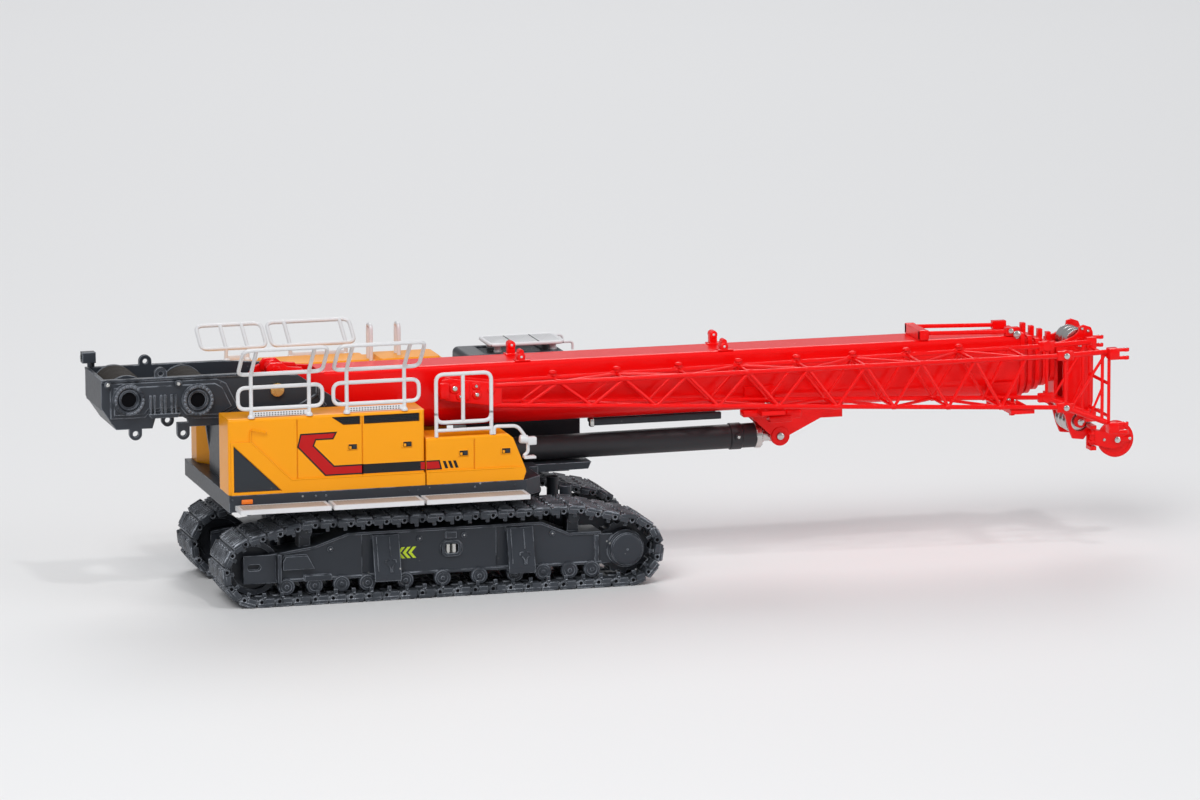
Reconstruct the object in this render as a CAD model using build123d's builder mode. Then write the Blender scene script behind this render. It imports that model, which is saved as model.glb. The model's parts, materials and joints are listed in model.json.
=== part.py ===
"""Scale model (1:50) of a telescopic-boom crawler crane, parked: boom level and drawn in, lattice jib
stowed along its right side, crawlers drawn in.  Millimetres of the model itself.

+X runs from the winches to the boom head, +Y to the cab side, +Z up.
The origin is on the ground under the slewing centre.
"""
import os
from math import atan2, cos, degrees, hypot, radians, sin

from build123d import *

os.makedirs("parts", exist_ok=True)

RIGHT, LEFT = -1, 1
RUNNING_GAP = 0.3        # between pieces that move past each other
SEAT_GAP = 0.05          # between flat faces of different bodies' bearings

# ---- crawlers ---------------------------------------------------------------------------------
GAUGE = 42.0             # between the crawlers' centre lines, drawn in
SHOE_WIDTH = 17.5
SHOE_COUNT = 53
SHOE_DEPTH = 2.6         # grouser tip to chain inside
BAND_DEPTH = 1.5         # chain between the grousers
SHOE_SHARE = 0.86        # of the pitch that a shoe fills
WHEEL_X = 53.3           # idler and sprocket centres from the middle
LOOP_RADIUS = 10.2       # outside of the shoes round idler and sprocket
CARRIER_X = 38.6         # carrier rollers
CARRIER_TOP = 24.0       # outside of the upper run over the carrier rollers
FRAME_WIDTH = 9.2        # track frame, side to side
ROLLER_RADIUS = 2.2
ROLLER_WIDTH = 11.0
ROLLER_X = (-44.5, -36.5, -28.8, -21.4, -10.5, 0.2, 10.8, 21.2, 29.2, 36.9, 43.4)
WHEEL_WIDTH = 5.0
WHEEL_RIM, WHEEL_HUB, WEB_DEPTH = 1.5, 2.6, 1.1     # of the idler
STEP_X = (-17.5, 21.1)   # boarding steps on the outer side
STEP_WIDTH, STEP_PLATE = 10.4, 7.6
STEP_REACH, STEP_SHEET = 3.6, 0.8
STEP_Z = (5.4, 18.3)
FLANGE, FLANGE_REACH = 0.7, 0.45   # edge flanges of the track frame's side plates
RELIEF = 0.5             # raised plates, and the sinking of recesses
SPROCKET_TEETH = 14
HUB_RADIUS, HUB_REACH = 4.7, 1.9     # final drive cover
CARRIER_RADIUS = 1.7
SOCKET_X, SOCKET_Z = 2.9, 13.1
SOCKET_SIZE, SOCKET_RIM = (5.4, 4.4), 0.8
# ---- car body ---------------------------------------------------------------------------------
BEAM_X = 26.0            # centre of the front and rear cross tubes
BEAM_WIDTH, BEAM_HEIGHT = 8.6, 7.6
BEAM_Z = 13.8
BEAM_INSIDE = 26.0       # length of a beam from its track frame inwards
TUBE_WALL = 1.2
BODY_GAP = 0.45          # car body to the inner ends of the shoes
BODY_HALF = (GAUGE - SHOE_WIDTH) / 2 - BODY_GAP
BODY_BASE, BODY_TOP = 8.0, 21.5
RING_RADIUS = 11.8
RING_SPLIT = 24.2        # height of the running joint of the slewing ring
JACK_X, JACK_Y, JACK_RADIUS = 41.0, 7.0, 1.7
JACK_BASE, JACK_TOP = 9.0, 25.4
# ---- superstructure ---------------------------------------------------------------------------
DECK_BASE, DECK_TOP = 27.3, 32.0
DECK_REAR = -61.0
SIDE_FACE = 29.0         # outer faces of the hoods
TONGUE_HALF, TONGUE_TOP = 4.3, 31.2   # tongue of the deck under the luffing cylinder
HOOD_INNER = 17.0
GRILLE = 0.5             # depth of the grilles' recesses
ROOF_BOX, ROOF_EDGE = 1.2, 26.4      # height and outer edge of the boxes on the left hood's roof
HOOD_TOP = 53.3
HOOD_SPLIT = -5.0        # between the tall and the low right hood
HOOD_SEAM = 0.4
LOW_HOOD_TOP = 45.2
LOW_HOOD_FRONT = 23.8
LEFT_HOOD_TOP, LEFT_HOOD_FRONT, LEFT_HOOD_REAR, LEFT_HOOD_INNER = 59.4, 11.5, -59.0, 12.4
FRAME_HALF = 11.0        # outer faces of the winch frame plates
PLATE = 1.2
WALK_TOP, WALK_THICK, WALK_REACH, WALK_RIM = 29.2, 1.3, 7.5, 0.9
WALK_PANELS = ((-59.4, 25.6), (-33.0, 25.6), (-6.6, 29.6))   # start, length
# ---- cab --------------------------------------------------------------------------------------
CAB_REAR, CAB_FRONT, CAB_INNER, CAB_OUTER = 17.0, 50.5, 12.0, 27.0
CAB_FLOOR, CAB_SILL, CAB_ROOF, CAB_WALL = 27.0, 43.0, 60.6, 0.9
CAB_TRAY = 1.1           # plate under the cab floor
CAB_DOOR_X = 28.0        # pillar between the rear quarter window and the door
GUARD_X, GUARD_Z = (24.0, 46.7), 63.6
GUARD_BAYS = (24.0, 31.6, 39.1, 46.7)
# ---- boom -------------------------------------------------------------------------------------
FOOT_X, FOOT_Z = -43.1, 57.9
FOOT_PIN_RADIUS = 1.4
BOOM_REAR = -29.6
BOOM_AXIS_Z = 52.4
BOOM_WIDTH, BOOM_HEIGHT = 14.4, 18.2
BOOM_WALL = 0.45
SECTION_STEP_Y, SECTION_STEP_Z = 1.7, 2.0      # width and height lost from one section to the next
SECTION_COUNT = 5
COLLAR_X, COLLAR_STEP, COLLAR_THICK, COLLAR_RISE = 177.4, 2.55, 1.3, 0.7
KNOB_WIDTH, KNOB_HEIGHT = 1.8, 2.8          # stop on each sliding section's collar
LUG_X, LUG_Z = 105.3, 35.5      # luffing cylinder's pin on the boom
LUG_PLATE = 1.3
BASE_PIN_X, BASE_PIN_Z = 12.0, 35.0
BARREL_RADIUS, ROD_RADIUS = 3.5, 1.9
BARREL_LENGTH = 87.5     # foot pin to gland
EYE_RADIUS, EYE_PIN, EYE_WIDTH = 2.2, 1.0, 4.4
# ---- winches ----------------------------------------------------------------------------------
DRUM_PLACES = {"rear": (-85.4, 57.4), "front": (-65.9, 56.4)}
DRUM_FLANGE, DRUM_CORE, DRUM_HALF, DRUM_SHAFT = 6.3, 5.5, 8.9, 2.0
# rings that a counterweight hangs from and that lift the frame: x, z, height that the ring's neck reaches
HANGER_LUGS = ((-83.3, 47.4, 50.0), (-69.8, 46.9, 50.0), (-76.0, 64.0, 62.0))
LUG_RADIUS, HANGER_BORE, LIFTING_BORE = 1.8, 0.8, 0.7
# ---- boom head --------------------------------------------------------------------------------
HEAD_HALF, HEAD_FRONT, CHEEK = 6.0, 198.8, 0.9
# x, z, radius, number of grooves; the lower rear one is the small deflector behind the main set
HEAD_SHEAVES = {"top": (194.6, 58.2, 3.8, 3), "lower_front": (195.0, 35.2, 4.0, 3),
                "lower_rear": (191.2, 40.0, 1.6, 1)}
SHEAVE_HALF, SHEAVE_PIN, WINDOW_RADIUS = 4.6, 0.9, 2.8
ROOSTER_X, ROOSTER_Y, ROOSTER_Z, ROOSTER_RADIUS = 205.0, -8.0, 30.1, 5.3
HINGE_X, HINGE_RADIUS = 198.3, 1.0
# ---- jib --------------------------------------------------------------------------------------
# lattice corners: x, near y (right), far y (left), upper z, lower z
JIB_TIP = (18.0, -16.6, -10.6, 56.8, 51.2)
JIB_ROOT = (183.0, -27.6, -10.9, 58.8, 43.8)
JIB_FIRST_NODE, JIB_BAY, JIB_BAY_LOSS, JIB_BAYS = 27.0, 18.9, 0.5, 8
CHORD_RADIUS, BRACE_RADIUS = 0.55, 0.32
FORK_FRONT, FORK_FLARE = 201.0, 2.7
POST_X = 194.8
# ---- guard rails: x from, x to, post places; each has a low loop and an outward-leaning upper loop ----
RAIL_RADIUS, RAIL_BEND = 0.5, 1.3
RAILS_RIGHT = ((-58.0, -34.1, (-54.3, -37.9)), (-31.0, -6.6, (-27.2, -10.8)))
RAIL_LOW, RAIL_MID, RAIL_LEAN_Z, RAIL_LEAN_Y = 55.9, 61.9, 65.6, 8.0
RAIL_Y = 28.0
RAILS_LEFT = ((-55.9, -37.0, (-48.8, -42.6)), (-35.4, -11.3, (-30.2, -14.0)))


def save(part, label):
    part.label = label
    export_step(part, f"parts/{label}.step")


def upright(y):
    """Plane at a given y that reads as the side view: its x is +X, its y is +Z, extrusions go to -Y."""
    return Plane.XZ.offset(-y)


def rod(start, end, radius, mode=Mode.ADD):
    """A round bar between two points, in the part being built."""
    axis = Vector(*end) - Vector(*start)
    with Locations(Plane(origin=start, z_dir=axis).location):
        Cylinder(radius, axis.length, align=(Align.CENTER, Align.CENTER, Align.MIN), mode=mode)


def bar(start, end, radius):
    """A six-sided bar between two points, in the part being built: thin lattice and rail members."""
    axis = Vector(*end) - Vector(*start)
    with BuildSketch(Plane(origin=start, z_dir=axis)) as outline:
        RegularPolygon(radius, 6)
    extrude(outline.sketch, amount=axis.length)


def cross_pin(x, z, y_from, y_to, radius, mode=Mode.ADD):
    rod((x, y_from, z), (x, y_to, z), radius, mode)


def block(x_range, y_range, z_range, mode=Mode.ADD):
    """A plain box given by its lowest and highest corners."""
    sizes = [high - low for low, high in (x_range, y_range, z_range)]
    centre = [(high + low) / 2 for low, high in (x_range, y_range, z_range)]
    with Locations(Location(centre)):
        Box(*sizes, mode=mode)


SINK = 0.2               # how far a raised panel is let into the face it stands on


def panel(face, side, corners, height, mode=Mode.ADD):
    """A plate with a polygon outline in X and Z, standing out by a height from a side face at y = face."""
    with BuildSketch(upright(face - side * SINK)) as outline:
        with BuildLine():
            Polyline(*corners, close=True)
        make_face()
    extrude(outline.sketch, amount=-side * (height + SINK), mode=mode)


def recess(face, side, corners, depth):
    """A polygon pocket let into a side face at y = face."""
    with BuildSketch(upright(face + side * SINK)) as outline:
        with BuildLine():
            Polyline(*corners, close=True)
        make_face()
    extrude(outline.sketch, amount=side * (depth + SINK), mode=Mode.SUBTRACT)


def rectangle(x_range, z_range):
    """The four corners of a rectangle in X and Z."""
    return ((x_range[0], z_range[0]), (x_range[1], z_range[0]), (x_range[1], z_range[1]), (x_range[0], z_range[1]))


def ring(face, side, x, z, outer, inner, height):
    """A round rim standing out by a height from a side face at y = face."""
    with BuildSketch(upright(face - side * SINK)) as outline:
        with Locations((x, z)):
            Circle(outer)
            Circle(inner, mode=Mode.SUBTRACT)
    extrude(outline.sketch, amount=-side * (height + SINK))


def grooved(x, y, z, half, radius, depth, bore, count=1, rim=0.35):
    """A rope sheave on an axis along Y: a number of V grooves side by side between rims, round a bore."""
    pitch = 2 * half / count
    tread = [(y - half, radius)]
    for start in [y - half + pitch * number for number in range(count)]:
        tread += [(start + rim, radius), (start + pitch / 2, radius - depth), (start + pitch - rim, radius)]
    with BuildSketch(Plane(origin=(x, 0, z), x_dir=(0, 1, 0), z_dir=(1, 0, 0))) as section:
        with BuildLine():
            Polyline((y - half, bore), *tread, (y + half, radius), (y + half, bore), close=True)
        make_face()
    revolve(section.sketch, axis=Axis((x, 0, z), (0, 1, 0)))


# ==== crawlers ==================================================================================
def loop_line(depth):
    """Closed side outline of the chain, a given depth inside the grouser tips."""
    radius = LOOP_RADIUS - depth
    top = CARRIER_TOP - depth
    rise, run = top - LOOP_RADIUS, WHEEL_X - CARRIER_X
    # the upper run leaves the wheel where its line to the carrier roller is tangent
    reach = hypot(rise, run)
    tangent = atan2(rise, -run) - atan2((reach**2 - radius**2) ** 0.5, radius)
    leave = (WHEEL_X + radius * cos(tangent), LOOP_RADIUS + radius * sin(tangent))
    with BuildLine() as line:
        Line((-WHEEL_X, depth), (WHEEL_X, depth))
        ThreePointArc((WHEEL_X, depth), (WHEEL_X + radius * cos(-0.3), LOOP_RADIUS + radius * sin(-0.3)), leave)
        Line(leave, (CARRIER_X, top))
        Line((CARRIER_X, top), (-CARRIER_X, top))
        Line((-CARRIER_X, top), (-leave[0], leave[1]))
        ThreePointArc((-leave[0], leave[1]), (-WHEEL_X - radius * cos(-0.3), LOOP_RADIUS + radius * sin(-0.3)),
                      (-WHEEL_X, depth))
    return line.wires()[0]


def make_track_loop(side):
    middle = loop_line(SHOE_DEPTH / 2)
    pitch = middle.length / SHOE_COUNT
    with BuildPart() as loop:
        with BuildSketch(upright(side * GAUGE / 2)):
            add(loop_line(SHOE_DEPTH - BAND_DEPTH))
            make_face()
            add(loop_line(SHOE_DEPTH))
            make_face(mode=Mode.SUBTRACT)
            for index in range(SHOE_COUNT):
                spot = middle.position_at((index + 0.5) / SHOE_COUNT)
                heading = middle.tangent_at((index + 0.5) / SHOE_COUNT)
                with Locations(Location((spot.X, spot.Y, 0), (0, 0, degrees(atan2(heading.Y, heading.X))))):
                    Trapezoid(pitch * SHOE_SHARE, SHOE_DEPTH, 82)
        extrude(amount=SHOE_WIDTH / 2, both=True)
    return loop.part


FRAME_TOP = ((-56.6, 13.2), (-36.4, 15.9), (-26.7, 19.1), (28.8, 19.1), (36.9, 15.5), (46.2, 15.4))
FRAME_BASE = 6.2


def make_track_frame(side):
    middle, outer = side * GAUGE / 2, side * (GAUGE + FRAME_WIDTH) / 2
    rear, front = FRAME_TOP[0][0], FRAME_TOP[-1][0]
    with BuildPart() as frame:
        with BuildSketch(upright(middle)):
            with BuildLine():
                Polyline((rear, FRAME_BASE), *FRAME_TOP, (front, FRAME_BASE), close=True)
            make_face()
        extrude(amount=FRAME_WIDTH / 2, both=True)
        # flanges along the top and the bottom edge, standing out on both sides
        with BuildSketch(upright(middle)):
            with BuildLine():
                Polyline(*FRAME_TOP, *[(x, z - FLANGE) for x, z in reversed(FRAME_TOP)], close=True)
            make_face()
            with Locations(((rear + front) / 2, FRAME_BASE + FLANGE / 2)):
                Rectangle(front - rear, FLANGE)
        extrude(amount=FRAME_WIDTH / 2 + FLANGE_REACH, both=True)
        # slots for the wheels
        for wheel in (-WHEEL_X, WHEEL_X):
            with BuildSketch(upright(middle)):
                with Locations((wheel, LOOP_RADIUS)):
                    Circle(LOOP_RADIUS - SHOE_DEPTH + RUNNING_GAP)
            extrude(amount=WHEEL_WIDTH / 2 + RUNNING_GAP, both=True, mode=Mode.SUBTRACT)
        # rollers under the frame and carrier rollers over it
        for x in ROLLER_X:
            cross_pin(x, SHOE_DEPTH + ROLLER_RADIUS + SEAT_GAP, middle - ROLLER_WIDTH / 2,
                      middle + ROLLER_WIDTH / 2, ROLLER_RADIUS)
        for x in (-CARRIER_X, CARRIER_X):
            top = CARRIER_TOP - SHOE_DEPTH - SEAT_GAP
            block((x - 1.6, x + 1.6), (middle - 2.5, middle + 2.5), (14.5, top - 1.2))
            cross_pin(x, top - CARRIER_RADIUS, middle - 4.0, middle + 4.0, CARRIER_RADIUS)
        # rear end: bearing plate with the idler's slot, gusset, and the tensioner's box
        panel(outer, side, rectangle((rear, -47.4), (FRAME_BASE, 14.2)), RELIEF)
        with BuildSketch(upright(outer + side * (RELIEF + SINK))):
            with Locations((-53.6, LOOP_RADIUS + 0.6)):
                SlotOverall(3.8, 1.7)
        extrude(amount=side * 1.6, mode=Mode.SUBTRACT)
        panel(outer, side, rectangle((-47.2, -46.2), (FRAME_BASE, 14.4)), 2.2)
        panel(outer, side, ((-45.6, 9.8), (-45.6, 12.2), (-44.8, 13.6), (-38.6, 13.6), (-36.6, 9.8)), 1.7)
        panel(outer, side, rectangle((-39.4, -31.6), (FRAME_BASE, 7.8)), 1.2)
        # front end: stiffening ridge and final drive cover
        panel(outer, side, rectangle((44.4, 45.3), (FRAME_BASE + 0.6, 14.5)), 1.0)
        cross_pin(WHEEL_X, LOOP_RADIUS, outer - side * 2.0, outer + side * HUB_REACH, HUB_RADIUS)
        cross_pin(WHEEL_X, LOOP_RADIUS, outer - side * 2.0, outer + side * 0.5, HUB_RADIUS + 0.7)
        block((front - 2.0, WHEEL_X - HUB_RADIUS + 1.0), sorted((outer - side * 1.8, outer)), (FRAME_BASE, 14.6))
        # boarding steps: folded plates that stand off a shallow recess
        for x in STEP_X:
            low, high = x - STEP_WIDTH / 2, x + STEP_WIDTH / 2
            recess(outer, side, rectangle((low, high), (STEP_Z[0] + 1.6, STEP_Z[1])), RELIEF)
            with BuildSketch(Plane.YZ.offset(high - STEP_PLATE)):
                with BuildLine():
                    Polyline((outer - side * RELIEF, STEP_Z[1]), (outer + side * STEP_SHEET, STEP_Z[1] - 0.3),
                             (outer + side * STEP_REACH, 7.2), (outer + side * STEP_REACH, STEP_Z[0]),
                             (outer - side * RELIEF, STEP_Z[0]), (outer - side * RELIEF, STEP_Z[0] + STEP_SHEET),
                             (outer + side * (STEP_REACH - STEP_SHEET), STEP_Z[0] + STEP_SHEET),
                             (outer + side * (STEP_REACH - STEP_SHEET), 7.0), (outer, STEP_Z[1] - 1.4),
                             (outer - side * RELIEF, STEP_Z[1] - 1.4), close=True)
                make_face()
            extrude(amount=STEP_PLATE)
        # jacking socket with its rim, and the boss over it
        width, height = SOCKET_SIZE
        with BuildSketch(upright(outer - side * SINK)):
            with Locations((SOCKET_X, SOCKET_Z)):
                RectangleRounded(width, height, 1.4)
                RectangleRounded(width - 2 * SOCKET_RIM, height - 2 * SOCKET_RIM, 0.8, mode=Mode.SUBTRACT)
        extrude(amount=-side * (SINK + 0.8))
        with BuildSketch(upright(outer + side * SINK)):
            with Locations((SOCKET_X, SOCKET_Z)):
                RectangleRounded(width - 2 * SOCKET_RIM, height - 2 * SOCKET_RIM, 0.8)
        extrude(amount=side * (SINK + 1.2), mode=Mode.SUBTRACT)
        panel(outer, side, rectangle((SOCKET_X - 1.6, SOCKET_X + 1.4), (SOCKET_Z + 2.9, SOCKET_Z + 4.6)), 0.8)
    return frame.part


def make_slide_beams(side):
    """Front and rear beam of one crawler, beside the other crawler's beams in the car body's tubes."""
    inner = side * (GAUGE - FRAME_WIDTH) / 2
    with BuildPart() as beams:
        for centre in (-BEAM_X, BEAM_X):
            x = centre + side * (BEAM_WIDTH + RUNNING_GAP) / 2
            block((x - BEAM_WIDTH / 2, x + BEAM_WIDTH / 2), sorted((inner, inner - side * BEAM_INSIDE)),
                  (BEAM_Z - BEAM_HEIGHT / 2, BEAM_Z + BEAM_HEIGHT / 2))
    return beams.part


def make_idler(side):
    middle, radius = side * GAUGE / 2, LOOP_RADIUS - SHOE_DEPTH - SEAT_GAP
    with BuildPart() as idler:
        cross_pin(-WHEEL_X, LOOP_RADIUS, middle - WHEEL_WIDTH / 2, middle + WHEEL_WIDTH / 2, radius)
        for face in (-1, 1):
            with BuildSketch(upright(middle + face * WHEEL_WIDTH / 2)):
                with Locations((-WHEEL_X, LOOP_RADIUS)):
                    Circle(radius - WHEEL_RIM)
                    Circle(WHEEL_HUB, mode=Mode.SUBTRACT)
            extrude(amount=face * WEB_DEPTH, mode=Mode.SUBTRACT)
    return idler.part


def make_sprocket(side):
    middle, radius = side * GAUGE / 2, LOOP_RADIUS - SHOE_DEPTH - SEAT_GAP
    with BuildPart() as sprocket:
        with BuildSketch(upright(middle)):
            with Locations((WHEEL_X, LOOP_RADIUS)):
                Circle(radius)
                with PolarLocations(radius + 0.2, SPROCKET_TEETH):
                    Circle(0.95, mode=Mode.SUBTRACT)
        extrude(amount=WHEEL_WIDTH / 2, both=True)
    return sprocket.part


for side, name in ((RIGHT, "right"), (LEFT, "left")):
    save(make_track_loop(side), f"track_loop_{name}")
    save(make_track_frame(side), f"track_frame_{name}")
    save(make_slide_beams(side), f"slide_beams_{name}")
    save(make_idler(side), f"idler_{name}")
    save(make_sprocket(side), f"sprocket_{name}")

# ==== car body ==================================================================================
with BuildPart() as carbody:
    block((-BEAM_X, BEAM_X), (-BODY_HALF, BODY_HALF), (BODY_BASE, BODY_TOP))
    tube_half = BEAM_WIDTH + RUNNING_GAP * 1.5
    for x in (-BEAM_X, BEAM_X):
        block((x - tube_half - TUBE_WALL, x + tube_half + TUBE_WALL), (-BODY_HALF, BODY_HALF),
              (BEAM_Z - BEAM_HEIGHT / 2 - RUNNING_GAP - TUBE_WALL, BEAM_Z + BEAM_HEIGHT / 2 + RUNNING_GAP + TUBE_WALL))
        block((x - tube_half, x + tube_half), (-BODY_HALF - 1, BODY_HALF + 1),
              (BEAM_Z - BEAM_HEIGHT / 2 - RUNNING_GAP, BEAM_Z + BEAM_HEIGHT / 2 + RUNNING_GAP), mode=Mode.SUBTRACT)
    for x in (-JACK_X, JACK_X):
        for y in (-JACK_Y, JACK_Y):
            rod((x, y, JACK_BASE), (x, y, JACK_TOP), JACK_RADIUS)
            rod((x, y, JACK_BASE), (x, y, JACK_BASE + 1.0), JACK_RADIUS + 0.8)
            reach = BEAM_X + tube_half + TUBE_WALL / 2
            block(sorted((x, reach if x > 0 else -reach)), (y - 1.2, y + 1.2), (11.0, 18.0))
    with BuildSketch(Plane.XY.offset(BODY_TOP)):
        Circle(RING_RADIUS)
    extrude(amount=RING_SPLIT - BODY_TOP - SEAT_GAP)
save(carbody.part, "carbody")

# ==== turntable =================================================================================
with BuildPart() as turntable:
    with BuildSketch(Plane.XY.offset(DECK_BASE)):
        with BuildLine():
            Polyline((DECK_REAR, -SIDE_FACE), (LOW_HOOD_FRONT, -SIDE_FACE), (29.0, -24.0), (29.0, -FRAME_HALF),
                     (32.0, -FRAME_HALF), (32.0, FRAME_HALF), (LEFT_HOOD_FRONT + 4, FRAME_HALF),
                     (LEFT_HOOD_FRONT + 4, SIDE_FACE), (DECK_REAR, SIDE_FACE), close=True)
        make_face()
    extrude(amount=DECK_TOP - DECK_BASE)
    rod((0, 0, RING_SPLIT + SEAT_GAP), (0, 0, DECK_BASE), RING_RADIUS)
    # arm and tray that carry the cab
    block((LEFT_HOOD_FRONT + 4, 32.0), (FRAME_HALF - 2, FRAME_HALF + 0.5), (CAB_FLOOR - CAB_TRAY, DECK_BASE + 1))
    block((LEFT_HOOD_FRONT + 4, CAB_FRONT - 3.5), (FRAME_HALF - 0.2, CAB_OUTER - 0.5),
          (CAB_FLOOR - CAB_TRAY, CAB_FLOOR))
    # trough for the luffing cylinder, and the bracket that holds its foot
    block((BASE_PIN_X - 6, 33), (-BARREL_RADIUS - 0.8, BARREL_RADIUS + 0.8), (BASE_PIN_Z - 4.6, DECK_TOP + 1),
          mode=Mode.SUBTRACT)
    for y in (-1, 1):
        near, far = y * (EYE_WIDTH / 2 + RUNNING_GAP), y * (BARREL_RADIUS + 0.8)
        block((BASE_PIN_X - 5, BASE_PIN_X + 3.6), sorted((near, far)), (BASE_PIN_Z - 4.6, BASE_PIN_Z + 2.4))
    cross_pin(BASE_PIN_X, BASE_PIN_Z, -4.3, 4.3, EYE_PIN)
    # tongue under the cylinder
    with BuildSketch(upright(TONGUE_HALF)):
        with BuildLine():
            Polyline((31.0, TONGUE_TOP), (49.4, TONGUE_TOP), (48.5, 29.2), (33.3, 29.0), (31.0, DECK_BASE + 0.3), close=True)
        make_face()
    extrude(amount=2 * TONGUE_HALF)
save(turntable.part, "turntable")

# ==== winch frame ===============================================================================
WINCH_REAR, WINCH_TOP, WINCH_BASE, WINCH_SPLAY = -92.9, 63.0, 48.8, 55.0
with BuildPart() as winch_frame:
    for side in (RIGHT, LEFT):
        outer = side * FRAME_HALF
        with BuildSketch(upright(outer)):
            with BuildLine():
                Polyline((WINCH_REAR, WINCH_TOP), (WINCH_REAR, WINCH_SPLAY), (-88.8, WINCH_BASE), (-59.5, 48.7),
                         (-57.0, DECK_TOP), (-14.0, DECK_TOP), (-14.0, 40.0), (-20.0, 50.3), (-37.0, 61.7),
                         (-53.5, WINCH_TOP), close=True)
            make_face()
            with Locations((-73.3, 49.4)):
                Trapezoid(11.5, 4.4, 72, mode=Mode.SUBTRACT)
            for x, z, mouth in HANGER_LUGS:
                with Locations((x, (z + mouth) / 2)):
                    Rectangle(2 * LUG_RADIUS, abs(mouth - z))
                with Locations((x, z)):
                    Circle(LUG_RADIUS)
                    Circle(HANGER_BORE if z < WINCH_BASE else LIFTING_BORE, mode=Mode.SUBTRACT)
            with Locations(*DRUM_PLACES.values()):
                Circle(DRUM_SHAFT + 0.1, mode=Mode.SUBTRACT)
            with Locations((FOOT_X, FOOT_Z)):
                Circle(FOOT_PIN_RADIUS, mode=Mode.SUBTRACT)
        extrude(amount=side * PLATE)
        # two-stepped raised panel, top rail, bearing rims, ribs and the shelf over the arch
        panel(outer, side, ((-90.3, 61.8), (-90.3, 52.0), (-80.6, 52.0), (-79.4, 53.4), (-71.0, 53.4), (-69.4, 51.2),
                            (-59.6, 50.8), (-54.4, 53.8), (-57.6, 60.4), (-60.2, 61.8)), 0.35)
        panel(outer, side, ((-89.3, 60.6), (-89.3, 53.0), (-81.0, 53.0), (-79.8, 54.4), (-70.6, 54.4), (-69.0, 52.3),
                            (-60.0, 51.9), (-56.2, 54.0), (-58.8, 59.4), (-60.8, 60.6)), 0.7)
        panel(outer, side, rectangle((WINCH_REAR, -53.5), (62.3, WINCH_TOP)), 0.5)
        for x, z in DRUM_PLACES.values():
            ring(outer, side, x, z, 4.25, 3.3, 1.1)
            ring(outer, side, x, z, 3.3, DRUM_SHAFT + 0.1, 1.5)
            cross_pin(x, z, outer - side * PLATE, outer + side * 2, DRUM_SHAFT + 0.1, mode=Mode.SUBTRACT)
        for x in (-78.6, -75.6, -72.6):
            for near in (-0.55, 0.55):
                panel(outer, side, rectangle((x + near - 0.25, x + near + 0.25), (52.9, 58.1)), 1.3)
        panel(outer, side, ((-79.8, 53.0), (-79.0, 51.8), (-71.6, 51.8), (-70.8, 53.0)), 1.6)
        # inverted Y of ridges beside the boom foot
        for corners in (((-37.6, 52.2), (-31.6, 55.6), (-31.6, 56.3), (-37.9, 52.8)),
                        ((-31.9, 55.9), (-31.9, 62.0 - 2.6), (-31.2, 58.9), (-31.2, 55.9)),
                        ((-31.5, 56.3), (-31.5, 55.6), (-29.6, 52.4), (-29.0, 52.8))):
            panel(outer, side, corners, 0.4)
    inside = (-FRAME_HALF + PLATE, FRAME_HALF - PLATE)
    block((WINCH_REAR, WINCH_REAR + 1.0), inside, (WINCH_SPLAY - 0.6, WINCH_TOP))
    block((-88.0, -80.4), inside, (WINCH_BASE, WINCH_BASE + 0.9))
    block((-66.2, -60.0), inside, (WINCH_BASE, WINCH_BASE + 0.9))
    block((-58.0, -56.8), inside, (DECK_TOP, 56.0))
    with BuildSketch(upright(FRAME_HALF - PLATE)):
        with BuildLine():
            Polyline((WINCH_REAR, WINCH_SPLAY), (-88.8, WINCH_BASE), (-87.7, WINCH_BASE + 0.9),
                     (WINCH_REAR + 1.0, WINCH_SPLAY), close=True)
        make_face()
    extrude(amount=2 * (FRAME_HALF - PLATE))
save(winch_frame.part, "winch_frame")

for name, (x, z) in DRUM_PLACES.items():
    with BuildPart() as drum:
        cross_pin(x, z, -DRUM_HALF, DRUM_HALF, DRUM_CORE)
        cross_pin(x, z, -DRUM_HALF - 0.6, -DRUM_HALF + 0.4, DRUM_FLANGE)
        cross_pin(x, z, DRUM_HALF - 0.4, DRUM_HALF + 0.6, DRUM_FLANGE)
        cross_pin(x, z, -FRAME_HALF - 0.4, FRAME_HALF + 0.4, DRUM_SHAFT)
        for face in (-1, 1):
            cross_pin(x, z, face * (FRAME_HALF - 1.2), face * (FRAME_HALF + 1.0), DRUM_SHAFT - 0.5, mode=Mode.SUBTRACT)
    save(drum.part, f"winch_drum_{name}")

# ==== hoods =====================================================================================
BELT_TOP = 35.6          # top of the hoods' lower belt
BELT = 0.4               # how far the belt stands out
GROOVE = 0.3             # width and depth of the panel seams


def hood_shell(outline, inner, side):
    """A hood with a given side outline, from its inner face to just inside its belt."""
    with BuildSketch(upright(side * inner)) as shape:
        with BuildLine():
            Polyline(*outline, close=True)
        make_face()
    extrude(shape.sketch, amount=-side * (SIDE_FACE - BELT - inner))


def seams(face, side, places, z_range):
    for x in places:
        recess(face, side, rectangle((x - GROOVE / 2, x + GROOVE / 2), z_range), GROOVE)


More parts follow.
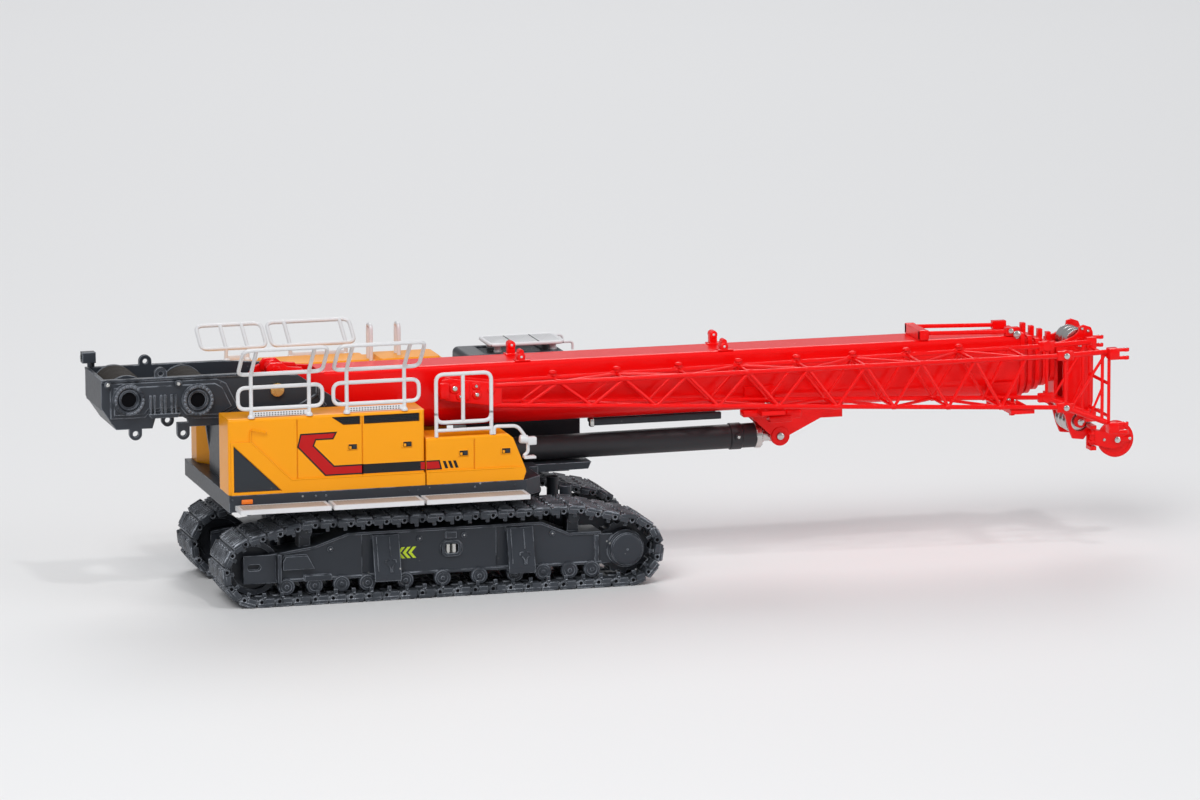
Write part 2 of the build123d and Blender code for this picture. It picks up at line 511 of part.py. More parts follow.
with BuildPart() as hood_right:
    front, face = HOOD_SPLIT - HOOD_SEAM / 2, -SIDE_FACE + BELT
    hood_shell(rectangle((DECK_REAR, front), (DECK_TOP, HOOD_TOP)), HOOD_INNER, RIGHT)
    rims = hood_right.edges()
    fillet(rims.filter_by(Axis.X).group_by(Axis.Z)[-1].sort_by(Axis.Y)[:1]
           + rims.filter_by(Axis.Z).group_by(Axis.Y)[0], 0.9)
    # belt along the foot, rising over the rear corner
    panel(face, RIGHT, ((DECK_REAR + 0.6, DECK_TOP), (DECK_REAR + 0.6, 46.8), (-54.6, 46.8), (-43.4, BELT_TOP),
                        (front, BELT_TOP), (front, DECK_TOP)), BELT)
    seams(face, RIGHT, (-41.5, -23.0), (BELT_TOP, HOOD_TOP - 1.0))
    # grilles: two at the upper front and a triangle at the lower rear
    recess(face, RIGHT, ((-31.7, HOOD_TOP - 0.8), (-28.3, HOOD_TOP - 3.2), (-23.5, HOOD_TOP - 3.2), (-23.5, HOOD_TOP - 0.8)), GRILLE)
    recess(face, RIGHT, rectangle((-22.5, front - 1.4), (HOOD_TOP - 3.2, HOOD_TOP - 0.8)), GRILLE)
    recess(face - BELT, RIGHT, ((-59.6, 46.0), (-59.6, 32.7), (-46.0, 32.7)), GRILLE)
save(hood_right.part, "hood_right")

with BuildPart() as hood_right_front:
    rear = HOOD_SPLIT + HOOD_SEAM / 2
    hood_shell(((rear, DECK_TOP), (rear, LOW_HOOD_TOP), (18.7, LOW_HOOD_TOP), (20.2, 44.0),
                (LOW_HOOD_FRONT - 0.3, BELT_TOP + 0.1), (LOW_HOOD_FRONT, 34.3), (LOW_HOOD_FRONT - 0.8, DECK_TOP)),
               HOOD_INNER, RIGHT)
    fillet(hood_right_front.edges().filter_by(Axis.X).group_by(Axis.Z)[-1].sort_by(Axis.Y)[:1], 0.8)
    panel(-SIDE_FACE + BELT, RIGHT, ((rear, DECK_TOP), (rear, BELT_TOP), (LOW_HOOD_FRONT - 0.3, BELT_TOP),
                                     (LOW_HOOD_FRONT, 34.3), (LOW_HOOD_FRONT - 0.8, DECK_TOP)), BELT)
    seams(-SIDE_FACE + BELT, RIGHT, (9.0,), (BELT_TOP, LOW_HOOD_TOP - 1.0))
save(hood_right_front.part, "hood_right_front")

with BuildPart() as hood_left:
    face = SIDE_FACE - BELT
    hood_shell(rectangle((LEFT_HOOD_REAR, LEFT_HOOD_FRONT), (DECK_TOP, LEFT_HOOD_TOP)), LEFT_HOOD_INNER, LEFT)
    with BuildSketch(Plane.XY.offset(DECK_TOP)):
        with BuildLine():
            Polyline((LEFT_HOOD_REAR, LEFT_HOOD_INNER), (LEFT_HOOD_REAR + 3.6, LEFT_HOOD_INNER),
                     (LEFT_HOOD_REAR + 3.6, LEFT_HOOD_INNER + 5.0), (LEFT_HOOD_REAR, LEFT_HOOD_INNER + 10.0), close=True)
        make_face()
    extrude(amount=LEFT_HOOD_TOP - DECK_TOP, mode=Mode.SUBTRACT)
    # two round-edged roof boxes
    for x_range in ((-41.0, -10.2), (-7.8, LEFT_HOOD_FRONT - 1.0)):
        with BuildSketch(Plane.XY.offset(LEFT_HOOD_TOP)):
            with Locations((sum(x_range) / 2, (LEFT_HOOD_INNER + ROOF_EDGE) / 2)):
                RectangleRounded(x_range[1] - x_range[0], ROOF_EDGE - LEFT_HOOD_INNER - 1.0, 1.6)
        extrude(amount=ROOF_BOX, taper=25)
    panel(face, LEFT, ((LEFT_HOOD_REAR, DECK_TOP), (LEFT_HOOD_REAR, 46.8), (-54.6, 46.8), (-43.4, BELT_TOP),
                       (LEFT_HOOD_FRONT, BELT_TOP), (LEFT_HOOD_FRONT, DECK_TOP)), BELT)
    seams(face, LEFT, (-41.5, -23.0, -6.7), (BELT_TOP, LEFT_HOOD_TOP - 1.0))
    recess(face, LEFT, rectangle((-39.6, -24.9), (LEFT_HOOD_TOP - 9.0, LEFT_HOOD_TOP - 2.0)), GRILLE)
    recess(face, LEFT, rectangle((-21.1, -8.6), (LEFT_HOOD_TOP - 9.0, LEFT_HOOD_TOP - 2.0)), GRILLE)
save(hood_left.part, "hood_left")

# ==== walkways ==================================================================================
for side, name in ((RIGHT, "right"), (LEFT, "left")):
    with BuildPart() as walkways:
        for start, length in WALK_PANELS:
            block((start, start + length), sorted((side * (SIDE_FACE + SEAT_GAP), side * (SIDE_FACE + WALK_REACH))),
                  (WALK_TOP - WALK_THICK, WALK_TOP))
            block((start + WALK_RIM, start + length - WALK_RIM),
                  sorted((side * (SIDE_FACE + WALK_RIM), side * (SIDE_FACE + WALK_REACH - WALK_RIM))),
                  (WALK_TOP - WALK_THICK / 3, WALK_TOP + 1), mode=Mode.SUBTRACT)
    save(walkways.part, f"walkways_{name}")

# ==== cab =======================================================================================
def cab_profile(inset):
    """Side outline of the cab, drawn in by an inset, in the current sketch."""
    with BuildSketch(mode=Mode.PRIVATE) as outline:
        with BuildLine():
            Polyline((CAB_REAR, CAB_FLOOR), (CAB_REAR, CAB_ROOF), (CAB_FRONT - 4.2, CAB_ROOF),
                     (CAB_FRONT, CAB_SILL + 1), (CAB_FRONT, CAB_FLOOR + 5), (CAB_FRONT - 3, CAB_FLOOR),
                     close=True)
        make_face()
        fillet(outline.vertices().group_by(Axis.Y)[-1], 1.6)
        offset(amount=-inset, kind=Kind.INTERSECTION, mode=Mode.REPLACE)
    add(outline.sketch)


def cab_body(inset):
    with BuildPart() as body:
        with BuildSketch(upright(CAB_INNER + inset)):
            cab_profile(inset)
        extrude(amount=CAB_INNER - CAB_OUTER + 2 * inset)
    return body.part


CAB_FRAME = 1.5          # width of the pillars round the windows
with BuildPart() as cab_windows:
    side_window = ((CAB_REAR + CAB_FRAME, CAB_SILL), (CAB_REAR + CAB_FRAME, CAB_ROOF - 2.2),
                   (CAB_FRONT - 5.6, CAB_ROOF - 2.2), (CAB_FRONT - 1.9, CAB_SILL))
    with BuildSketch(upright(CAB_INNER - 1)):
        with BuildLine():
            Polyline(*side_window, close=True)
        make_face()
    extrude(amount=-2)
    with BuildSketch(upright(CAB_OUTER + 1)):
        with BuildLine():
            Polyline(*side_window, close=True)
        make_face()
        with Locations((CAB_DOOR_X, CAB_SILL + 8)):
            Rectangle(CAB_FRAME, 30, mode=Mode.SUBTRACT)
    extrude(amount=2)
    across = (CAB_INNER + CAB_FRAME, CAB_OUTER - CAB_FRAME)
    block((CAB_FRONT - 5, CAB_FRONT + 1), across, (CAB_SILL + 1, CAB_ROOF - 2.2))
    block((CAB_FRONT - 2, CAB_FRONT + 1), across, (CAB_FLOOR + 6, CAB_SILL - 1.5))
    block((CAB_REAR - 1, CAB_REAR + 1), across, (CAB_SILL + 2, CAB_ROOF - 3))
    block((CAB_REAR + 6, CAB_FRONT - 10), across, (CAB_ROOF - 1.5, CAB_ROOF + 1))

with BuildPart() as cab_shell:
    add(cab_body(0))
    add(cab_body(CAB_WALL), mode=Mode.SUBTRACT)
    add(cab_windows.part, mode=Mode.SUBTRACT)
save(cab_shell.part, "cab_shell")

with BuildPart() as cab_glass:
    add(cab_body(0.3))
    add(cab_body(0.6), mode=Mode.SUBTRACT)
    add(cab_windows.part, mode=Mode.INTERSECT)
save(cab_glass.part, "cab_glass")

with BuildPart() as cab_seat:
    middle = (CAB_INNER + CAB_OUTER) / 2
    block((26.0, 34.0), (middle - 3.4, middle + 3.4), (CAB_FLOOR + CAB_WALL, 36.6))
    block((25.0, 27.6), (middle - 3.2, middle + 3.2), (36.6, 50.0))
    block((40.0, 43.0), (middle - 2.4, middle + 2.4), (CAB_FLOOR + CAB_WALL, 42.0))
save(cab_seat.part, "cab_seat")

with BuildPart() as cab_guard:
    block((GUARD_X[0], GUARD_X[1]), (CAB_INNER, CAB_OUTER - 0.5), (GUARD_Z - 0.6, GUARD_Z))
    for low, high in zip(GUARD_BAYS[:-1], GUARD_BAYS[1:]):
        block((low + 0.5, high - 0.5), (CAB_INNER + 0.8, CAB_OUTER - 1.3), (GUARD_Z - 0.7, GUARD_Z - 0.35),
              mode=Mode.SUBTRACT)
    for x in (27.4, 43.6):
        for y in (CAB_INNER + 1.2, CAB_OUTER - 1.7):
            rod((x, y, CAB_ROOF), (x, y, GUARD_Z - 0.4), 0.45)
save(cab_guard.part, "cab_guard")

# ==== boom ======================================================================================
def section_size(index):
    return BOOM_WIDTH - index * SECTION_STEP_Y, BOOM_HEIGHT - index * SECTION_STEP_Z


def section_outline(width, height):
    """Boom cross-section in the current sketch: flat top, nearly half-round belly."""
    with BuildSketch(mode=Mode.PRIVATE) as outline:
        Rectangle(width, height)
        fillet(outline.vertices().group_by(Axis.Y)[0], width * 0.42)
        fillet(outline.vertices().group_by(Axis.Y)[-1], width * 0.09)
    add(outline.sketch)


def section_start(index):
    return BOOM_REAR + 3.0 * index


def section_end(index):
    return COLLAR_X + COLLAR_STEP * index


def make_section(index):
    width, height = section_size(index)
    with BuildPart() as section:
        plane = Plane(origin=(section_start(index), 0, BOOM_AXIS_Z), x_dir=(0, 1, 0), z_dir=(1, 0, 0))
        with BuildSketch(plane):
            section_outline(width, height)
        extrude(amount=section_end(index) - section_start(index))
        with BuildSketch(plane.offset(section_end(index) - section_start(index))):
            section_outline(width + 2 * COLLAR_RISE, height + 2 * COLLAR_RISE)
        extrude(amount=-COLLAR_THICK)
        top = BOOM_AXIS_Z + height / 2
        if index:
            block((section_end(index) - COLLAR_THICK, section_end(index)), (-KNOB_WIDTH / 2, KNOB_WIDTH / 2),
                  (top, top + COLLAR_RISE + KNOB_HEIGHT))
        with BuildSketch(plane):
            section_outline(width - 2 * BOOM_WALL, height - 2 * BOOM_WALL)
        extrude(amount=section_end(index) - section_start(index), mode=Mode.SUBTRACT)
        if index == 0:
            for y in (-1, 1):
                with BuildSketch(upright(y * (BOOM_WIDTH / 2 - 1.6) if y < 0 else y * (BOOM_WIDTH / 2))):
                    with Locations((FOOT_X, FOOT_Z)):
                        Circle(4.4)
                    with BuildLine():
                        Polyline((FOOT_X, FOOT_Z + 4.4), (BOOM_REAR + 1, 61.3), (BOOM_REAR + 1, 46.0),
                                 (FOOT_X - 1, FOOT_Z - 4.3), close=True)
                    make_face()
                    with Locations((FOOT_X, FOOT_Z)):
                        Circle(FOOT_PIN_RADIUS + 0.05, mode=Mode.SUBTRACT)
                extrude(amount=1.6)
            for y in (-4.2, 2.9):
                with BuildSketch(upright(y)):
                    with BuildLine():
                        Polyline((LUG_X - 11, 43.6), (LUG_X - 2.4, LUG_Z), (LUG_X + 2.4, LUG_Z),
                                 (LUG_X + 19, 43.6), close=True)
                    make_face()
                    with Locations((LUG_X, LUG_Z)):
                        Circle(2.8)
                extrude(amount=-LUG_PLATE)
            block((LUG_X + 11.5, LUG_X + 18.5), (-4.2, -2.2), (40.2, 44.0))
    return section.part


for index in range(SECTION_COUNT):
    save(make_section(index), f"boom_section_{index + 1}")


with BuildPart() as boom_foot_pin:
    cross_pin(FOOT_X, FOOT_Z, -FRAME_HALF - 0.9, FRAME_HALF + 0.9, FOOT_PIN_RADIUS - 0.05)
    cross_pin(FOOT_X, FOOT_Z, -FRAME_HALF - 0.9, -FRAME_HALF - SEAT_GAP, FOOT_PIN_RADIUS + 0.5)
    cross_pin(FOOT_X, FOOT_Z, FRAME_HALF + SEAT_GAP, FRAME_HALF + 0.9, FOOT_PIN_RADIUS + 0.5)
save(boom_foot_pin.part, "boom_foot_pin")

# ==== luffing cylinder ==========================================================================
base_pin, lug_pin = Vector(BASE_PIN_X, 0, BASE_PIN_Z), Vector(LUG_X, 0, LUG_Z)
ram_line = (lug_pin - base_pin).normalized()


def along_ram(distance):
    return tuple(base_pin + ram_line * distance)


with BuildPart() as luff_barrel:
    cross_pin(BASE_PIN_X, BASE_PIN_Z, -EYE_WIDTH / 2, EYE_WIDTH / 2, EYE_RADIUS)
    rod(along_ram(0), along_ram(5.0), 1.8)
    rod(along_ram(4.6), along_ram(BARREL_LENGTH), BARREL_RADIUS)
    rod(along_ram(7.0), along_ram(BARREL_LENGTH + 1), ROD_RADIUS + 0.06, mode=Mode.SUBTRACT)
    cross_pin(BASE_PIN_X, BASE_PIN_Z, -4.5, 4.5, EYE_PIN + 0.06, mode=Mode.SUBTRACT)
save(luff_barrel.part, "luff_barrel")

with BuildPart() as luff_rod:
    rod(along_ram(7.5), tuple(lug_pin), ROD_RADIUS)
    cross_pin(LUG_X, LUG_Z, -EYE_WIDTH / 2, EYE_WIDTH / 2, EYE_RADIUS)
    cross_pin(LUG_X, LUG_Z, -4.5, 4.5, EYE_PIN, mode=Mode.SUBTRACT)
save(luff_rod.part, "luff_rod")

# ==== boom head =================================================================================
with BuildPart() as boom_head:
    back = section_end(SECTION_COUNT - 1) + SEAT_GAP
    low_x, low_z, low_radius, _ = HEAD_SHEAVES["lower_front"]
    for y in (-HEAD_HALF, HEAD_HALF - CHEEK):
        with BuildSketch(upright(y)):
            with BuildLine():
                Polyline((back, 53.4), (back, 58.6), (190.8, 59.4), (193.0, 60.4), (194.3, 61.6), (194.5, 63.0),
                         (196.0, 63.4), (198.0, 62.7), (198.6, 61.3), (HEAD_FRONT, 58.0), (HEAD_FRONT, 41.0),
                         (197.8, 36.4), (197.6, 32.0), (196.0, 30.0), (192.7, 30.4), (191.6, 33.0), (190.4, 37.4),
                         (back, 40.0), (back, 42.6), (189.8, 42.6), (189.8, 53.2), close=True)
            make_face()
            # C-shaped window round the lower axle
            with BuildSketch(mode=Mode.SUBTRACT):
                with Locations((low_x, low_z)):
                    Circle(WINDOW_RADIUS)
                    Circle(SHEAVE_PIN + 0.9, mode=Mode.SUBTRACT)
                with Locations((low_x + 0.6, low_z + WINDOW_RADIUS)):
                    Rectangle(3.2, 2.6, mode=Mode.SUBTRACT)
        extrude(amount=-CHEEK)
    for x, z, radius, _ in HEAD_SHEAVES.values():
        cross_pin(x, z, -HEAD_HALF - 0.5, HEAD_HALF + 0.5, SHEAVE_PIN)
        for y in (-HEAD_HALF, HEAD_HALF):
            cross_pin(x, z, y - 0.3, y + 0.3, SHEAVE_PIN + 0.7)
    block((back, back + 1.2), (-3.8, 3.8), (41.4, 57.8))
    block((back, 190.0), (-HEAD_HALF, HEAD_HALF), (56.8, 57.8))
    block((back, 189.6), (-HEAD_HALF, HEAD_HALF), (41.4, 42.6))
    block((197.0, 197.9), (-HEAD_HALF, HEAD_HALF), (41.0, 53.6))
    # ears of the swinging tip sheave's hinge
    for low in (27.2, 33.3):
        block((HINGE_X - 1.2, HINGE_X + 0.6), (ROOSTER_Y - 1.1, -HEAD_HALF + CHEEK), (low, low + 1.1))
    block((HINGE_X - 1.2, HINGE_X + 0.2), (-HEAD_HALF, -HEAD_HALF + CHEEK), (27.2, 34.4))
save(boom_head.part, "boom_head")

for name, (x, z, radius, grooves) in HEAD_SHEAVES.items():
    with BuildPart() as sheave:
        grooved(x, 0, z, SHEAVE_HALF, radius, 0.2 * radius, SHEAVE_PIN + 0.06, grooves)
    save(sheave.part, f"head_sheave_{name}")

with BuildPart() as rooster_bracket:
    rod((HINGE_X, ROOSTER_Y, 28.7), (HINGE_X, ROOSTER_Y, 33.1), HINGE_RADIUS)
    with BuildSketch(upright(ROOSTER_Y - 1.5)):
        with BuildLine():
            Polyline((HINGE_X, 28.7), (HINGE_X, 33.1), (ROOSTER_X, 32.0), (ROOSTER_X, 27.2), close=True)
        make_face()
        with Locations((ROOSTER_X, ROOSTER_Z)):
            Circle(2.4)
    extrude(amount=-3.0)
    cross_pin(ROOSTER_X, ROOSTER_Z, ROOSTER_Y - 0.9, ROOSTER_Y + 0.9, ROOSTER_RADIUS + 0.3, mode=Mode.SUBTRACT)
    cross_pin(ROOSTER_X, ROOSTER_Z, ROOSTER_Y - 1.7, ROOSTER_Y + 1.7, 0.8)
save(rooster_bracket.part, "rooster_bracket")

with BuildPart() as rooster_sheave:
    grooved(ROOSTER_X, ROOSTER_Y, ROOSTER_Z, 0.7, ROOSTER_RADIUS, 0.7, 0.86, rim=0.25)
save(rooster_sheave.part, "rooster_sheave")


# ==== jib =======================================================================================
def jib_corner(x, near, upper):
    """Centre of a chord at x: near is the chord further from the boom."""
    share = (x - JIB_TIP[0]) / (JIB_ROOT[0] - JIB_TIP[0])
    y_index, z_index = (1 if near else 2), (3 if upper else 4)
    return (x, JIB_TIP[y_index] + share * (JIB_ROOT[y_index] - JIB_TIP[y_index]),
            JIB_TIP[z_index] + share * (JIB_ROOT[z_index] - JIB_TIP[z_index]))


def between(start, end, chord, member):
    """The ends of a member given by the axes of the two chords it spans, drawn back to stop at their surfaces.

    The chords run nearly along X, so a member at a slant to them is drawn back further."""
    start, end = Vector(*start), Vector(*end)
    heading = (end - start).normalized()
    across = hypot(heading.Y, heading.Z)
    back = heading * ((chord + SEAT_GAP + member * abs(heading.X)) / across)
    return tuple(start + back), tuple(end - back)


jib_lower_x = [JIB_FIRST_NODE + k * JIB_BAY - JIB_BAY_LOSS * k * (k - 1) / 2 for k in range(JIB_BAYS + 1)]
jib_upper_x = [(a + b) / 2 for a, b in zip(jib_lower_x[:-1], jib_lower_x[1:])] + [jib_lower_x[-1] + 7.2]
TIP_PLATE = 0.8
tip_x, tip_near, tip_far, tip_top, tip_bottom = JIB_TIP


def make_jib_truss(near):
    """One side of the jib: two chords, their zigzag braces, the tip plate, the root post and its two forks."""
    with BuildPart() as truss:
        for upper in (True, False):
            bar(jib_corner(tip_x, near, upper), jib_corner(JIB_ROOT[0], near, upper), CHORD_RADIUS)
        for index, x in enumerate(jib_lower_x):
            foot = jib_corner(x, near, False)
            bar(foot, jib_corner(jib_upper_x[index], near, True), BRACE_RADIUS)
            if index:
                bar(foot, jib_corner(jib_upper_x[index - 1], near, True), BRACE_RADIUS)
        with BuildSketch(upright((tip_near if near else tip_far) - TIP_PLATE / 2)):
            with BuildLine():
                Polyline((tip_x + 2, tip_top + 0.5), (5.0, 59.4), (2.4, 58.6), (2.4, 54.6), (4.0, 53.2),
                         (tip_x + 2, tip_bottom - 0.5), close=True)
            make_face()
        extrude(amount=-TIP_PLATE)
        root_x = JIB_ROOT[0]
        upper, lower = jib_corner(root_x, near, True), jib_corner(root_x, near, False)
        flare = -FORK_FLARE if near else FORK_FLARE
        y = upper[1]
        bar(upper, (POST_X + 1.2, y, 59.3), 0.7)
        bar(lower, (POST_X + 1.2, y, 38.6), 0.8)
        for x in (POST_X - 0.8, POST_X + 1.2):
            bar((x, y, 38.8), (x, y, 59.3), 0.5)
        bar((root_x + 1.5, y, 43.2), (POST_X, y, 58.6), 0.4)
        bar((190.5, y, 41.0), (POST_X - 0.8, y, 49.0), 0.35)
        bar((root_x, y, lower[2]), (root_x, y, upper[2]), 0.5)
        for z in (upper[2], lower[2]):
            cross_pin(root_x, z, y - 0.8, y + 0.8, 1.5)
        for z in (59.0, 37.6):
            block((POST_X + 0.4, 198.0), sorted((y - flare * 0.1, y + flare + 0.7 * (1 if flare > 0 else -1))),
                  (z - 1.6, z + 1.6))
            for prong in (z - 1.15, z + 1.15):
                block((197.9, FORK_FRONT), sorted((y + flare - 0.75, y + flare + 0.75)), (prong - 0.45, prong + 0.45))
            bar((FORK_FRONT - 1.0, y + flare, z - 1.8), (FORK_FRONT - 1.0, y + flare, z + 1.8), 0.4)
    return truss.part


for near, name in ((True, "right"), (False, "left")):
    save(make_jib_truss(near), f"jib_truss_{name}")

# members between the two side trusses: zigzags over and under, and the root's three rungs
with BuildPart() as jib_cross_members:
    for upper, nodes in ((True, jib_upper_x), (False, jib_lower_x)):
        for index, x in enumerate(nodes):
            ends = (jib_corner(x, True, upper), jib_corner(x, False, upper))
            bar(*between(*ends, CHORD_RADIUS, BRACE_RADIUS), BRACE_RADIUS)
            if index + 1 < len(nodes):
                ends = (jib_corner(x + CHORD_RADIUS, index % 2 == 0, upper),
                        jib_corner(nodes[index + 1] - CHORD_RADIUS, index % 2 == 1, upper))
                bar(*between(*ends, CHORD_RADIUS, BRACE_RADIUS), BRACE_RADIUS)
    for x, z in ((POST_X + 1.2, 57.9), (POST_X + 1.2, 40.6)):
        bar(*between((x, JIB_ROOT[1], z), (x, JIB_ROOT[2], z), 0.5, 0.5), 0.5)
save(jib_cross_members.part, "jib_cross_members")

# tip pins with their rope sheaves, between the two tip plates
with BuildPart() as jib_tip_sheaves:
    inner = (tip_near + TIP_PLATE / 2, tip_far - TIP_PLATE / 2)
    middle = sum(inner) / 2
    for x, z, radius in ((12.0, 55.4, 1.6), (6.0, 56.4, 3.0)):
        cross_pin(x, z, *inner, 0.8)
        cross_pin(x, z, middle - 0.6, middle + 0.6, radius)
save(jib_tip_sheaves.part, "jib_tip_sheaves")

# brackets that carry the stowed jib on the boom's right side
with BuildPart() as jib_brackets:
    side = -BOOM_WIDTH / 2
    for x, z in ((98.0, 45.0), (170.5, 42.4)):
        reach = jib_corner(x, True, False)[1]
        block((x - 3.5, x + 3.5), (reach, side + 0.6), (z, z + 1.2))
        block((x - 4.5, x + 4.5), (side - 1.2, side - SEAT_GAP), (z - 1.5, z + 6.0))
        rod((x, (reach + side) / 2, z - 2.0), (x, (reach + side) / 2, z + 1.9), 0.8)
save(jib_brackets.part, "jib_brackets")

# frame and guide posts on the boom's top
boom_top = BOOM_AXIS_Z + BOOM_HEIGHT / 2
with BuildPart() as boom_top_frame:
    block((146.0, 148.6), (-7.0, 7.0), (boom_top + SEAT_GAP, 64.3))
    for y in (-6.0, 6.0):
        rod((148.0, y, 63.4), (174.0, y, 62.6), 0.6)
        block((172.0, COLLAR_X - COLLAR_THICK - SEAT_GAP), (y - 1.0, y + 1.0), (boom_top + SEAT_GAP, 63.9))
        for x in (28.5, 88.0):
            rod((x, y * 0.9, boom_top + SEAT_GAP), (x, y * 0.9, 64.0), 0.8)
            cross_pin(x, 64.0, y * 0.9 - 1.2, y * 0.9 + 1.2, 0.8)
save(boom_top_frame.part, "boom_top_frame")


# ==== guard rails and lamp ======================================================================
def rail_loop(low, high, x_from, x_to):
    """Loop of rail with cut corners in the plane through two points given as (y, z), from x_from to x_to."""
    rise = Vector(0, high[0] - low[0], high[1] - low[1])
    frame = Plane(origin=(x_from, *low), x_dir=(1, 0, 0), z_dir=Vector(1, 0, 0).cross(rise))
    width, height, cut = x_to - x_from, rise.length, RAIL_BEND
    with BuildLine(frame) as loop:
        Polyline((width / 2, 0), (width - cut, 0), (width, cut), (width, height - cut), (width - cut, height),
                 (cut, height), (0, height - cut), (0, cut), (cut, 0), (width / 2, 0))
    path = loop.wires()[0]
    with BuildSketch(Plane(origin=path @ 0, z_dir=path % 0)) as outline:
        RegularPolygon(RAIL_RADIUS, 6)
    return sweep(outline.sketch, path=path, transition=Transition.RIGHT)


def rails(side, table, foot, low, middle, lean_from, lean_y, lean_z):
    with BuildPart() as result:
        y, lean_to = side * RAIL_Y, side * (RAIL_Y + lean_y)
        for x_from, x_to, posts in table:
            if low is not None:
                add(rail_loop((y, low), (y, middle), x_from, x_to))
            add(rail_loop((y, lean_from), (lean_to, lean_from + lean_z), x_from, x_to))
            for x in posts:
                bar((x, y, foot), (x, y, lean_from), RAIL_RADIUS)
                bar((x, y, lean_from), (x, lean_to, lean_from + lean_z), RAIL_RADIUS)
            block((posts[0] - 1, posts[-1] + 1), sorted((y - side * 1.4, y + side * 0.8)), (foot, foot + 0.8))
    return result


rails_right = rails(RIGHT, RAILS_RIGHT, HOOD_TOP, RAIL_LOW, RAIL_MID, RAIL_LEAN_Z, RAIL_LEAN_Y, 8.1)
save(rails_right.part, "rails_right")

with BuildPart() as rails_left:
    add(rails(LEFT, RAILS_LEFT, LEFT_HOOD_TOP, None, None, 63.2, 8.0, 5.4).part)
    for x, foot in ((-9.0, LEFT_HOOD_TOP), (-0.9, LEFT_HOOD_TOP + ROOF_BOX)):
        for y in (18.2, 21.8):
            bar((x, y, foot), (x, y, 69.4), RAIL_RADIUS)
        bar((x, 17.8, 69.4), (x, 22.2, 69.4), RAIL_RADIUS)
save(rails_left.part, "rails_left")

with BuildPart() as rail_front_right:
    y = -RAIL_Y
    add(rail_loop((y, 49.2), (y, 62.8), -1.7, 14.1))
    bar((6.0, y, 49.2), (6.0, y, 62.8), RAIL_RADIUS)
    for x in (-1.7, 14.1):
        bar((x, y, LOW_HOOD_TOP), (x, y, 52.0), RAIL_RADIUS)
    bar((-1.7, y, 47.0), (14.1, y, 47.0), RAIL_RADIUS)
    with BuildLine() as handrail:
        FilletPolyline((14.9, y, LOW_HOOD_TOP), (14.9, y, 47.4), (21.6, y, 47.2), (24.6, y, 43.0), (24.6, y, 39.6),
                       (23.4, y, 38.6), radius=0.7)
    with BuildSketch(Plane(origin=handrail.line @ 0, z_dir=handrail.line % 0)):
        RegularPolygon(RAIL_RADIUS, 6)
    sweep(path=handrail.wires()[0])
    # on the handrail: work lamp, its round housing, and a step plate
    block((24.2, 27.0), (y - 1.2, y + 1.2), (41.6, 44.0))
    rod((22.2, y, 43.6), (24.4, y, 43.2), 1.2)
    block((23.2, 26.6), (y - 1.6, y + 1.0), (37.9, 38.6))
save(rail_front_right.part, "rail_front_right")

with BuildPart() as rear_lamp:
    block((-94.0, -90.2), (8.9, 11.9), (64.4, 67.4))
    rod((-90.8, 10.4, 63.0), (-90.8, 10.4, 65.0), 0.5)
save(rear_lamp.part, "rear_lamp")
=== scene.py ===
"""Looks of a 1:50 display model: a telescopic-boom crawler crane, parked with its boom level.

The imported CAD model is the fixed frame. Each operator makes one piece, or one group of like pieces, around it.
Shapes are worked out in millimetres of the model and put into their meshes in metres.
+X runs to the boom head, +Y to the cab side, +Z up.
"""

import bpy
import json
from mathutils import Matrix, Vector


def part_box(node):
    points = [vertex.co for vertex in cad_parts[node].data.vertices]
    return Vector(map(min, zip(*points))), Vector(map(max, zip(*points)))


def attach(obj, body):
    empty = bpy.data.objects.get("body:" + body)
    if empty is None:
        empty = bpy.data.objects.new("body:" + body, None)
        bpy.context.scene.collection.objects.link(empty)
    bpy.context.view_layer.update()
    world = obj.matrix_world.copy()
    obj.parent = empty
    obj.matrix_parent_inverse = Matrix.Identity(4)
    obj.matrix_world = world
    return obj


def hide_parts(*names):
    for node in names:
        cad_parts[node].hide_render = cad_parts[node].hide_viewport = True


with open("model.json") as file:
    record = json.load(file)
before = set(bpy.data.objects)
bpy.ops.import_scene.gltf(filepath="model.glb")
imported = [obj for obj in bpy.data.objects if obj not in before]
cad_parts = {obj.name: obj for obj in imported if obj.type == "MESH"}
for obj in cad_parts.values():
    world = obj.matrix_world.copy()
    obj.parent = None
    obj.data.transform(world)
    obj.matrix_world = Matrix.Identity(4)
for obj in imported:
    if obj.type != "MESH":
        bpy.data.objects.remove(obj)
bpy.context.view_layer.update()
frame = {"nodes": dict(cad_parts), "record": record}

import json
from math import cos, pi, radians, sin

import bmesh
import bpy
import numpy as np
from mathutils import Matrix

bl_info = {
    "name": "Crawler crane display model",
    "version": (1, 0, 0),
    "blender": (4, 5, 0),
    "location": "3D View > Sidebar > Crane",
    "description": "Dresses the packed scale model of a telescopic-boom crawler crane",
    "category": "Add Mesh",
}

MM = 0.001
RIGHT, LEFT = -1, 1
SIDES = ((RIGHT, "right"), (LEFT, "left"))
X_AXIS, Y_AXIS, Z_AXIS = (1, 0, 0), (0, 1, 0), (0, 0, 1)
ORIGIN = (0, 0, 0)
SHARP_ANGLE = radians(34)


def cad_box(node):
    """Lowest and highest corner of a CAD node, in millimetres."""
    return [np.array(corner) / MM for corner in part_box(node)]


